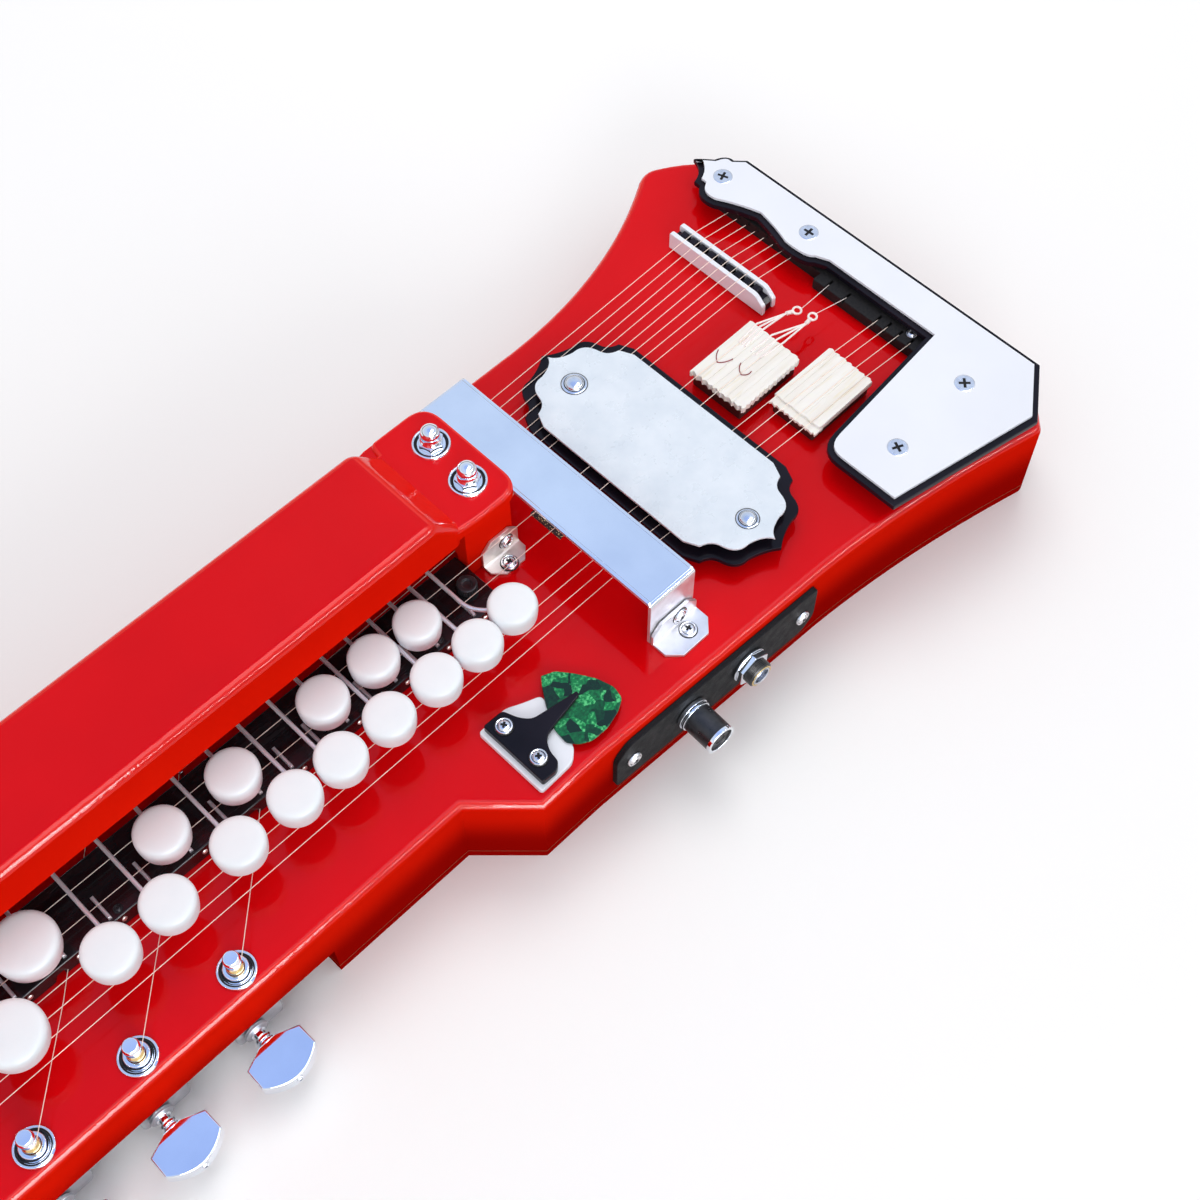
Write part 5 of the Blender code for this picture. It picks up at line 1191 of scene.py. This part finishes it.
def makeStrings():
    radius = stringSizes["radius"]
    form, pins = bmesh.new(), bmesh.new()
    tailX, tailHigh = 0.4010, 0.0054
    restX = stringSizes["restX"]
    waist = tunerSizes["waistHigh"]

    # sympathetic strings: over the slotted bridge, round two rows of pins, through the tunnel and slanting to the tuners
    bridge = bridgeSizes["sympathetic"]
    pinA, pinB = stringSizes["pinX"]
    pinHigh, through = stringSizes["pinHigh"], stringSizes["tunnelHigh"]
    (startY, pitch), (innerY, innerPitch) = stringSizes["laneY"]
    for i, bridgeY in enumerate(sympatheticYs()):
        pinY, lane, inner = stringSizes["pinY"][i], startY + i * pitch, innerY + i * innerPitch
        postX, postY = sidePosts()[i]
        turnX = postX + inner - postY + 0.0022
        side = Vector((1, -1)).normalized() * 0.0024
        route = [
            (tailX, bridgeY, tailHigh), (bridge["x"][1] - 0.0004, bridgeY, bridge["high"]),
            (bridge["x"][0] + 0.0004, bridgeY, bridge["high"]), (pinA, pinY, pinHigh), (pinB, lane, pinHigh),
            (0.2020, inner, through), (turnX, inner, 0.0026), (turnX - 0.004, inner - 0.004, 0.0024),
            (postX + side.x + 0.0330, postY + side.y + 0.0330, stringSizes["underHigh"]),
            (postX + side.x, postY + side.y, waist),
        ]
        pour(form, tube([(x, y, deckZ + h) for x, y, h in route], radius, 8))
        pour(form, aroundPost(postX, postY, waist))
        for x, y, tall in ((turnX, inner - 0.0012, 0.0045), (pinA, pinY - 0.0011, 0.0094), (pinB, lane + 0.0011, 0.0094)):
            pin = turned(rounded([(0, tall, 0), (0.0009, tall, 0.0003), (0.0009, 0, 0), (0, 0, 0)], 3, False), 14)
            pour(pins, pin, Matrix.Translation((x, y, deckZ + seat)))

    # drone strings
    bridge = bridgeSizes["drone"]
    posts = headPosts(-1)[::-1] + headPosts(1)[:1]
    ways = zip(*(stringSizes[key] for key in ("droneY", "droneRestY", "droneLeftY", "droneRightY", "droneTailY")))
    for i, (y, restY, leftY, rightY, tailY) in enumerate(ways):
        postX, postY = posts[i]
        side = 0.0024 if postY > 0 else -0.0024
        middle = bridge["middle"]
        route = [
            (tailX, tailY, tailHigh), (middle + 0.0172, rightY, 0.0083), (middle - 0.0172, leftY, 0.0083),
            (restX, restY, 0.0075), (nutX, y, stringSizes["droneHigh"]), (postX, postY - side, waist),
        ]
        pour(form, tube([(x, a, deckZ + h) for x, a, h in route], radius, 8))
        pour(form, aroundPost(postX, postY, waist))

    # melody strings, which reach from the loops behind their bridge
    middle = bridgeSizes["melody"]["middle"]
    posts = headPosts(1)[1:]
    for i, (y, bridgeY) in enumerate(zip(stringSizes["melodyY"], stringSizes["melodyBridgeY"])):
        postX, postY = posts[i]
        high = stringSizes["melodyHigh"]
        route = [
            (middle + 0.0178, bridgeY - 0.0006, 0.0100), (middle - 0.0170, bridgeY, high - 0.0001), (restX, y, high),
            (nutX, y, high), (postX, postY - 0.0024, waist),
        ]
        pour(form, tube([(x, a, deckZ + h) for x, a, h in route], radius, 8))
        pour(form, aroundPost(postX, postY, waist))
    addPiece("strings", form, stringPaintedReflection, angle=60)
    addPiece("guidePins", pins, steel)


loopSizes = {
    "upper": {"starts": ((0.3617, 0.0069), (0.3617, 0.0050), (0.3617, 0.0031)), "twist": (0.3751, 0.0029), "eye": (0.3800, 0.0010), "end": (0.4010, 0.0021)},
    "lower": {"starts": ((0.3617, -0.0013), (0.3617, -0.0043), (0.3617, -0.0072)), "twist": (0.3769, -0.0063), "eye": (0.3818, -0.0055), "end": (0.4010, -0.0075)},
    "marks": (((0.3411, 0.0086), (0.3376, 0.0073), (0.3362, 0.0046), (0.3418, 0.0014)),
              ((0.3426, -0.0022), (0.3394, -0.0033), (0.3383, -0.0063), (0.3424, -0.0080))),
}


def makeLoops():
    form = bmesh.new()
    wire = 0.00042
    for name in ("upper", "lower"):
        sizes = loopSizes[name]
        twist = Vector((*sizes["twist"], deckZ + 0.0085))
        eye = Vector((*sizes["eye"], deckZ + 0.0080))
        for x, y in sizes["starts"]:
            pour(form, tube([(x - 0.012, y * 0.8, deckZ + 0.0102), (x, y, deckZ + 0.0101), tuple(twist)], wire, 8))
        along = (eye - twist).normalized()
        for phase in (0, math.pi):
            wind = coil(0.00055, 0.00042, 0.0016, 2.2, 12, 6)
            pour(form, wind, facing(along, tuple(twist)) @ Matrix.Rotation(phase, 4, "Z"))
        rise = twist + along * 0.0030
        centre = rise + along * 0.0021
        loop = turned([(0.0019 + 0.0005 * math.cos(a), 0.0005 * math.sin(a)) for a in [math.tau * i / 8 for i in range(9)]], 24)
        bmesh.ops.scale(loop, vec=(1.15, 0.85, 1), verts=loop.verts)
        tilt = facing((0.25, -0.25, 0.93), tuple(centre))
        pour(form, loop, tilt)
        end = Vector((*sizes["end"], deckZ + 0.0054))
        pour(form, tube([tuple(centre + along * 0.0016), tuple(end)], stringSizes["radius"], 8))
    addPiece("stringLoops", form, paleThread, angle=60)

    marks = bmesh.new()
    top = deckZ + bridgeSizes["melody"]["high"] + 0.0001
    for start, corner, low, end in loopSizes["marks"]:
        curve = [start] + arcBetween(start, corner, low, 6)
        pour(marks, tube([(x, y, top) for x, y in curve], 0.00022, 6))
        curve = [low] + arcBetween(low, (low[0] + 0.0015, low[1] - 0.0024), end, 6)
        pour(marks, tube([(x, y, top) for x, y in curve], 0.00022, 6))
    addPiece("threadMarks", marks, redThread, angle=60)


makeStrings()
makeLoops()
print("Strings made")


# Tuners

def housingShape(x, wallY, side):
    long, wide, tall = tunerSizes["housing"]
    top = boxSizes["ledgeZ"] - seat - tunerSizes["plate"] / 2
    centre = x - tunerSizes["shaftBack"] / 2
    outer = wallY - side * 0.0015
    near, far = sorted((outer, outer - side * wide))
    return block((centre - long / 2, near, top - tall), (centre + long / 2, far, top), 0.0018, 4)


def makeTuners():
    ledgeZ = boxSizes["ledgeZ"]
    near, far = boxSizes["neckY"]
    top = ledgeZ - seat
    sets = {
        "side": ([(sidePosts(), near, -1)], "side_tuner_plate"),
        "head": ([(headPosts(-1), near, -1), (headPosts(1), far, 1)], "head_tuner_plate"),
    }
    for name, (rows, node) in sets.items():
        (low, high) = (tuple(corner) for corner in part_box(node))
        strip = block((low[0], low[1] if name == "head" else near + 0.0012, top - tunerSizes["plate"]),
                      (high[0], high[1], top), 0.0004, 2)
        posts, waists, washers, rings = bmesh.new(), bmesh.new(), bmesh.new(), bmesh.new()
        for row, edge, side in rows:
            for i, (x, y) in enumerate(row):
                pour(strip, housingShape(x, edge, side))
                shaft = (x - tunerSizes["shaftBack"], edge - side * 0.0008, tunerSizes["shaftZ"])
                pour(strip, ring(0.0028, 0.0046, 0, 0.0014, 0.0003, 24), facing((0, side, 0), shaft))
                r, tall = tunerSizes["postRadius"], tunerSizes["postHigh"]
                profile = rounded([(0, tall, 0), (r * 0.86, tall, 0.0004), (r, tall - 0.0016, 0.0004), (r, tall - 0.0040, 0.0003),
                                   (r * 0.76, tall - 0.0048, 0.0003), (r * 0.74, tall - 0.0056, 0)], 3, False)
                profile += [(0.0018, tall - 0.0056), (0.0018, -0.026), (0, -0.026)]
                pour(posts, turned(profile, 28), Matrix.Translation((x, y, deckZ)))
                profile = rounded([(0.0017, tall - 0.0053, 0), (r * 0.74, tall - 0.0053, 0.0002), (r * 0.76, tall - 0.0062, 0.0003),
                                   (r, tall - 0.0072, 0.0003), (r, 0.0030, 0.0002), (0.0017, 0.0030, 0)], 3, False)
                pour(waists, turned(profile + profile[:1], 28), Matrix.Translation((x, y, deckZ)))
                w = tunerSizes["washer"]
                profile = rounded([(0.0032, 0.0034, 0), (0.0044, 0.0034, 0.0004), (0.0047, 0.0014, 0.0002), (0.0052, 0.0006, 0.0002),
                                   (0.0058, 0.0006, 0.0002), (0.0061, 0.0013, 0.0002), (w - 0.0002, 0.0013, 0.0003), (w, 0.0003, 0.0001),
                                   (0.0032, 0.0003, 0)], 3, False)
                washer = turned(profile + profile[:1], 48)
                notch = block((-0.0009, -w - 0.001, 0.0008), (0.0009, -w + 0.0010, 0.003))
                turn = Matrix.Rotation(math.radians(15 + 9 * i), 4, "Z")
                pour(washers, combine(washer, notch), Matrix.Translation((x, y, deckZ)) @ turn)
                # painted shade: a dark ring in the washer's groove
                pour(rings, ring(0.0054, 0.0060, 0.0004, 0.00085, 0.00005, 48), Matrix.Translation((x, y, deckZ)))
        addPiece(f"{name}TunerHousings", strip, castMetal, stands=(node,))
        addPiece(f"{name}TunerPosts", posts, chrome, angle=40)
        addPiece(f"{name}TunerWaists", waists, brass, angle=40)
        addPiece(f"{name}TunerWashers", washers, chrome, angle=30)
        addPiece(f"{name}TunerPaintedShadeRings", rings, blackAndPaintedShade, angle=30)


knobSizes = {"wide": 0.0232, "long": 0.0170, "thick": 0.0068, "fromEdge": 0.0062, "shaft": 0.0024}


def makeKnob(name, x, edge, side):
    half, long = knobSizes["wide"] / 2, knobSizes["long"]
    z = tunerSizes["shaftZ"]
    place = Matrix.Translation((x - tunerSizes["shaftBack"], edge, z)) @ Matrix.Scale(side, 4, (0, 1, 0))
    out = knobSizes["fromEdge"]
    outline = [(-half * 0.30, out), (half * 0.30, out), (half * 0.99, out + long * 0.20)]
    outline += [(half, out + long * 0.70)]
    outline += arcBetween(outline[-1], (half * 0.50, out + long * 1.0), (0, out + long), 6)
    outline += [(-a, b) for a, b in reversed(outline[3:-1])] + [(-half * 0.99, out + long * 0.20)]
    thick = knobSizes["thick"] / 2
    knob = sheet(rounded([(a, b, 0.0004) for a, b in outline], 2), -thick, thick, 0.0007, 0.0007, 3)
    r = knobSizes["shaft"]
    reach = out + 0.0120
    profile = rounded([(0, reach + 0.002, 0), (r, reach + 0.002, 0), (r + 0.0011, reach + 0.0004, 0.0003), (r + 0.0011, reach - 0.0008, 0.0003),
                       (r + 0.0002, reach - 0.0011, 0.0001), (r + 0.0009, reach - 0.0014, 0.0002), (r + 0.0009, reach - 0.0026, 0.0003),
                       (r, reach - 0.0032, 0.0002), (r, 0.0135, 0), (r + 0.0005, 0.0132, 0.0001), (r + 0.0005, 0.0122, 0.0001),
                       (r - 0.0002, 0.0118, 0), (r - 0.0002, 0, 0), (0, 0, 0)], 3, False)
    pour(knob, turned(profile, 24), facing((0, 1, 0), (0, -0.0120, 0)))
    pour(knob, screwHead("pan", 0.0017)[0], facing((0, 1, 0), (0, out + long - 0.0003, 0)) @ Matrix.Rotation(0.5, 4, "Z"))
    addPiece(name.replace("_", ""), pour(bmesh.new(), knob, place), chrome, name, 40, (name,))


def makeKnobs():
    near, far = boxSizes["neckY"]
    for i, (x, _) in enumerate(sidePosts()):
        makeKnob(f"side_knob_{i + 1}", x, near, -1)
    for i, (x, _) in enumerate(headPosts(-1)):
        makeKnob(f"head_knob_{i + 1}", x, near, -1)
    for i, (x, _) in enumerate(headPosts(1)):
        makeKnob(f"head_knob_{i + 4}", x, far, 1)


makeTuners()
makeKnobs()
print("Tuners made")


# Controls on the near wall

def outwardAt(x, outward):
    # a matrix whose z runs out of the controls wall
    way = Vector((boxSizes["controlsSlope"], -1, 0)).normalized()
    base = Vector((x, controlsWallY(x), controlSizes["z"])) + way * outward
    side = Vector((0, 0, 1)).cross(way)
    return Matrix.Translation(base) @ Matrix((side, way.cross(side), way)).transposed().to_4x4()


def makeControls():
    long, tall, thick = controlSizes["plate"]
    cut = controlSizes["cutOff"]
    half = long / 2
    lower = [(-half, -tall / 2, 0.002), (half - cut, -tall / 2, 0.003), (half, -tall / 2 + cut, 0.003)]
    outline = rounded(lower + [(-x, -y, radius) for x, y, radius in lower], 5)
    middle = (controlSizes["volumeX"] + controlSizes["jackX"]) / 2
    plate = sheet(outline, 0, thick, 0.0004, 0.0, 2)
    addPiece("jackPlate", pour(bmesh.new(), plate, outwardAt(middle, seat)), texturedPlate, stands=("jack_plate",))

    face = 2 * seat + thick
    r, reach = controlSizes["knobRadius"], controlSizes["knobLong"]
    knob = turned(rounded([
        (0, reach - 0.0010, 0), (r * 0.34, reach - 0.0010, 0), (r * 0.36, reach - 0.0006, 0), (r * 0.40, reach - 0.0006, 0),
        (r * 0.42, reach - 0.0010, 0), (r * 0.78, reach - 0.0010, 0.0002), (r * 0.80, reach - 0.0004, 0),
        (r * 0.97, reach - 0.0004, 0.0002), (r * 0.97, 0.0030, 0.0003), (r * 0.97, 0.0006, 0), (controlSizes["stem"], 0.0006, 0),
        (controlSizes["stem"], -0.0050, 0), (0, -0.0050, 0)], 3, False), 56)
    addPiece("volumeKnob", pour(bmesh.new(), knob, outwardAt(controlSizes["volumeX"], face)), blackMetal, "volume", 40, ("volume_knob",))
    rings = bmesh.new()
    for inner, outer, low, high in ((r * 0.60, r + 0.0006, 0.0, 0.0016), (r * 0.60, r + 0.0003, 0.0020, 0.0030),
                                    (r * 0.80, r, reach - 0.0016, reach)):
        pour(rings, ring(inner, outer, low, high, 0.0002, 56))
    addPiece("volumeRings", pour(bmesh.new(), rings, outwardAt(controlSizes["volumeX"], face)), chrome, "volume", 40)

    nut = hexagon(controlSizes["nut"], 0.0008, controlSizes["nutThick"], 0.0005)
    pour(nut, ring(controlSizes["barrel"], controlSizes["nut"] * 1.0, 0.0, 0.0009, 0.0002, 48))
    addPiece("jackNut", pour(bmesh.new(), nut, outwardAt(controlSizes["jackX"], face)), chrome, stands=("output_jack",))
    barrel = controlSizes["barrel"]
    profile = [(controlSizes["bore"] + 0.0008, 0.0)]
    for i in range(7):
        high = 0.0006 * i
        profile += [(barrel, high), (barrel - 0.0003, high + 0.0003)]
    profile += [(barrel - 0.0006, 0.0042), (controlSizes["bore"] + 0.0008, 0.0042), (controlSizes["bore"] + 0.0008, 0.0)]
    shift = controlSizes["nutThick"] - 0.0008
    addPiece("jackBarrel", pour(bmesh.new(), turned(profile, 40), outwardAt(controlSizes["jackX"], face + shift)), blackMetal)
    sleeve = turned([(controlSizes["bore"], -0.012), (controlSizes["bore"] + 0.0008, -0.012), (controlSizes["bore"] + 0.0008, 0.0045),
                     (controlSizes["bore"] + 0.0005, 0.0048), (controlSizes["bore"], 0.0045), (controlSizes["bore"], -0.012)], 40)
    pour(sleeve, turned([(0, -0.0118), (controlSizes["bore"] + 0.0006, -0.0118), (controlSizes["bore"] + 0.0006, -0.0122), (0, -0.0122)], 40))
    band = ring(controlSizes["bore"] + 0.0009, barrel - 0.0007, 0.0040, 0.0045, 0.0001, 40)
    addPiece("jackBand", pour(bmesh.new(), band, outwardAt(controlSizes["jackX"], face + shift)), brass)
    addPiece("jackSleeve", pour(bmesh.new(), sleeve, outwardAt(controlSizes["jackX"], face + shift)), steel)


makeControls()
print("Controls made")


# Pick and its holder

pickSizes = {
    "baseThick": 0.0022, "clipTop": 0.0055, "pickThick": 0.0008,
    "base": ((0.1602, -0.0773, 0.0015), (0.1760, -0.0768, 0.0025), (0.1806, -0.0725, 0.002), (0.1812, -0.0660, 0.002),
             (0.1850, -0.0580, 0.003), (0.1862, -0.0500, 0.002), (0.1800, -0.0478, 0.004), (0.1735, -0.0447, 0.002),
             (0.1602, -0.0451, 0.0015)),
    "clip": ((0.1622, -0.0760, 0.001), (0.1690, -0.0762, 0.0015), (0.1716, -0.0738, 0.001), (0.1722, -0.0690, 0.002),
             (0.1748, -0.0645, 0.0025), (0.1800, -0.0630, 0.0025), (0.1950, -0.0606, 0.0008), (0.1956, -0.0588, 0.0008),
             (0.1828, -0.0568, 0.0025), (0.1765, -0.0556, 0.0020), (0.1735, -0.0520, 0.0020), (0.1712, -0.0458, 0.0015),
             (0.1622, -0.0456, 0.001)),
    "pick": ((0.1912, -0.0447, 0.0008), (0.1962, -0.0469, 0.0012), (0.2005, -0.0524, 0.0015), (0.2048, -0.0596, 0.0015),
             (0.2068, -0.0664, 0.0015), (0.2056, -0.0716, 0.0015), (0.2010, -0.0744, 0.0015), (0.1938, -0.0763, 0.0015),
             (0.1864, -0.0762, 0.0015), (0.1818, -0.0738, 0.0015), (0.1790, -0.0700, 0.0012), (0.1797, -0.0634, 0.0015),
             (0.1840, -0.0550, 0.0015), (0.1878, -0.0490, 0.0015)),
}


def makePick():
    foot = deckZ + seat
    top = foot + pickSizes["baseThick"]
    base = sheet(rounded(pickSizes["base"], 6), foot, top, 0.0005, 0.0, 3)
    addPiece("pickHolder", base, whitePlate, stands=("pick_holder",))
    clip = sheet(rounded(pickSizes["clip"], 6), top, deckZ + pickSizes["clipTop"], 0.0005, 0.0, 3)
    room = block((0.1760, -0.09, top - 0.001), (0.22, -0.03, top + pickSizes["pickThick"] + 2 * seat))
    addPiece("pickClip", combine(clip, room), blackPlate)
    low = top + seat
    pick = sheet(rounded(pickSizes["pick"], 5), low, low + pickSizes["pickThick"], 0.0003, 0.0002, 2)
    addPiece("pick", pick, greenPearl, "pick", stands=("pick",))


makePick()
print("Pick made")


# Small fittings beside the cover

fittingSizes = {
    "tabX": (0.2090, 0.2267), "tabLeg": 0.0135, "tabFoot": 0.0092, "tabSheet": 0.0012, "tabY": 0.0054,
    "thumb": (0.1960, -0.0012), "thumbRadius": 0.0040, "thumbHigh": 0.0038,
    "strip": ((0.2355, -0.0093), (0.2380, 0.0068), (0.0060, 0.0076)),
}


def makeFittings():
    left, right = fittingSizes["tabX"]
    y, thick = fittingSizes["tabY"], fittingSizes["tabSheet"]
    outline = rounded([
        (y, seat, 0.0002), (y, fittingSizes["tabLeg"], 0), (y - thick, fittingSizes["tabLeg"], 0), (y - thick, thick + seat, 0.0012),
        (y - fittingSizes["tabFoot"], thick + seat, 0), (y - fittingSizes["tabFoot"], seat, 0),
    ], 5)
    tab = pour(bmesh.new(), sheet(outline, 0, right - left), Matrix(((0, 0, 1, left), (1, 0, 0, 0), (0, 1, 0, deckZ), (0, 0, 0, 1))))
    for end, x in ((-1, left), (1, right)):
        for slant, inset in ((1.0, 0.0042), (0.45, 0.0022)):
            trimmed(tab, (x, y - fittingSizes["tabFoot"] + inset, deckZ), Vector((end, -slant, 0)).normalized())
            trimmed(tab, (x, y, deckZ + fittingSizes["tabLeg"] - inset), Vector((end, 0, slant)).normalized())
    roundOff(tab, sharpEdges(tab, 50), 0.0002, 2)
    addPiece("platformAngle", tab, warmSteel)

    x, y = fittingSizes["thumb"]
    r, tall = fittingSizes["thumbRadius"], fittingSizes["thumbHigh"]
    thumb = turned(rounded([(0, tall - 0.0006, 0), (r * 0.45, tall - 0.0006, 0.0003), (r * 0.50, tall, 0.0002), (r * 0.92, tall, 0.0003),
                            (r, tall - 0.0006, 0.0002), (r, 0.0004, 0.0002), (r * 0.9, 0, 0), (0, 0, 0)], 3, False), 48)
    rim = [v for v in thumb.verts if math.hypot(v.co.x, v.co.y) > r * 0.97]
    for v in rim:
        turn = round(math.atan2(v.co.y, v.co.x) / (math.tau / 48))
        if turn % 2:
            v.co.x *= 0.93
            v.co.y *= 0.93
    addPiece("thumbScrew", pour(bmesh.new(), thumb, Matrix.Translation((x, y, deckZ + boardSizes["thick"]))), blackMetal)

    (x, y), (otherX, otherY), (low, high) = fittingSizes["strip"]
    strip = block((x, y, deckZ + low), (otherX, otherY, deckZ + high), 0.0004, 2)
    addPiece("underRestStrip", strip, speckled)


makeFittings()
print("Fittings made")


# Studio

studio = {
    "floorColour": 1.0, "floorBounce": 0.30, "floorFade": (0.7, 2.2, 0.0, 0.4), "skyLevel": 0.67, "aim": (0.15, 0.0, 0.04),
    "top": 5.2, "topPlace": (0.75, 0.45, 1.2), "topSize": (0.8, 0.8),
    "band": 10.0, "bandPlace": (0.40, -0.60, 1.50), "bandSize": (1.9, 0.65),
    "strip": 9.0, "stripPlace": (0.75, -1.35, 0.80), "stripSize": (1.6, 0.05),
    "side": 7.5, "sidePlace": (-0.50, -1.30, 0.80), "sideSize": (0.9, 0.5),
    "glow": 24.0, "glowPlace": (-0.18, -1.30, 0.55), "glowSize": (0.8, 0.8),
}


def makeFloor():
    form = bmesh.new()
    bmesh.ops.create_grid(form, x_segments=2, y_segments=2, size=6.0)
    mesh = bpy.data.meshes.new("floor")
    form.to_mesh(mesh)
    form.free()
    floor = bpy.data.objects.new("floor", mesh)
    bpy.context.scene.collection.objects.link(floor)
    material = bpy.data.materials.new("floor")
    material.use_nodes = True
    tree = material.node_tree
    shader = tree.nodes["Principled BSDF"]
    shader.inputs["Roughness"].default_value = 0.9
    shader.inputs["Specular IOR Level"].default_value = 0.0
    seen = seenRays(tree)
    mix = nodeOf(tree, "ShaderNodeMix", data_type="RGBA")
    tree.links.new(seen, mix.inputs["Factor"])
    bounce, pale = studio["floorBounce"], studio["floorColour"]
    mix.inputs["A"].default_value = (bounce, bounce, bounce, 1)
    mix.inputs["B"].default_value = (pale, pale, pale, 1)
    tree.links.new(mix.outputs["Result"], shader.inputs["Base Color"])

    # far from the object the floor fades into the white backdrop, for the camera only
    where = tree.nodes.new("ShaderNodeTexCoord")
    distance = nodeOf(tree, "ShaderNodeVectorMath", operation="LENGTH")
    tree.links.new(where.outputs["Object"], distance.inputs[0])
    fade = nodeOf(tree, "ShaderNodeMapRange", interpolation_type="SMOOTHSTEP")
    for socket, value in zip(("From Min", "From Max", "To Min", "To Max"), studio["floorFade"]):
        fade.inputs[socket].default_value = value
    tree.links.new(distance.outputs["Value"], fade.inputs["Value"])
    path = tree.nodes.new("ShaderNodeLightPath")
    seen = nodeOf(tree, "ShaderNodeMath", operation="MULTIPLY")
    tree.links.new(fade.outputs["Result"], seen.inputs[0])
    tree.links.new(path.outputs["Is Camera Ray"], seen.inputs[1])
    shader.inputs["Emission Color"].default_value = (1, 1, 1, 1)
    tree.links.new(seen.outputs["Value"], shader.inputs["Emission Strength"])
    mesh.materials.append(material)


def seenRays(tree):
    # 1 where the camera, a reflection or glass looks at it
    path = tree.nodes.new("ShaderNodeLightPath")
    first = nodeOf(tree, "ShaderNodeMath", operation="MAXIMUM")
    second = nodeOf(tree, "ShaderNodeMath", operation="MAXIMUM")
    tree.links.new(path.outputs["Is Camera Ray"], first.inputs[0])
    tree.links.new(path.outputs["Is Glossy Ray"], first.inputs[1])
    tree.links.new(first.outputs["Value"], second.inputs[0])
    tree.links.new(path.outputs["Is Transmission Ray"], second.inputs[1])
    return second.outputs["Value"]


def makeSky():
    world = bpy.data.worlds.new("studio")
    bpy.context.scene.world = world
    world.use_nodes = True
    tree = world.node_tree
    background = tree.nodes["Background"]
    where = tree.nodes.new("ShaderNodeTexCoord")
    split = tree.nodes.new("ShaderNodeSeparateXYZ")
    tree.links.new(where.outputs["Generated"], split.inputs["Vector"])
    sky = rampOf(tree, split.outputs["Z"], (
        (0.0, (0.20, 0.20, 0.22)), (0.17, (0.30, 0.32, 0.36)), (0.25, (0.86, 0.89, 0.94)), (0.38, (0.80, 0.85, 0.94)),
        (0.52, (0.66, 0.74, 0.90)), (0.82, (0.60, 0.74, 1.0)), (0.95, (0.40, 0.55, 1.0)),
    ))
    level = studio["skyLevel"]
    path = tree.nodes.new("ShaderNodeLightPath")
    shiny = nodeOf(tree, "ShaderNodeMix", data_type="RGBA")
    tree.links.new(path.outputs["Is Glossy Ray"], shiny.inputs["Factor"])
    shiny.inputs["A"].default_value = (level, level * 1.01, level * 1.05, 1)
    tree.links.new(sky, shiny.inputs["B"])
    mix = nodeOf(tree, "ShaderNodeMix", data_type="RGBA")
    tree.links.new(path.outputs["Is Camera Ray"], mix.inputs["Factor"])
    tree.links.new(shiny.outputs["Result"], mix.inputs["A"])
    mix.inputs["B"].default_value = (1, 1, 1, 1)
    tree.links.new(mix.outputs["Result"], background.inputs["Color"])
    background.inputs["Strength"].default_value = 1.0


def addLamp(name, energy, place, size, colour=(1, 1, 1)):
    lamp = bpy.data.lights.new(name, "AREA")
    lamp.energy = energy
    lamp.color = colour
    lamp.shape = "RECTANGLE"
    lamp.size, lamp.size_y = size
    obj = bpy.data.objects.new(name, lamp)
    bpy.context.scene.collection.objects.link(obj)
    obj.location = place
    obj.rotation_euler = (Vector(place) - Vector(studio["aim"])).to_track_quat("Z", "Y").to_euler()
    return obj


def makeCamera():
    camera = bpy.data.cameras.new("camera")
    camera.lens = 53.22
    camera.sensor_fit = "HORIZONTAL"
    camera.sensor_width = 36
    obj = bpy.data.objects.new("camera", camera)
    bpy.context.scene.collection.objects.link(obj)
    obj.location = (-0.009, -0.275, 0.605)
    obj.rotation_euler = (math.radians(31), 0, math.radians(-45))
    bpy.context.scene.camera = obj


makeFloor()
makeSky()
overhead = addLamp("overhead", studio["top"], studio["topPlace"], studio["topSize"], (1.0, 0.98, 0.96))
overhead.visible_glossy = False
for name in ("band", "strip", "side", "glow"):
    lamp = addLamp(name, studio[name], studio[f"{name}Place"], studio[f"{name}Size"])
    lamp.visible_diffuse = name == "side"
makeCamera()
bpy.context.scene.view_settings.view_transform = "Standard"
print("Studio made")
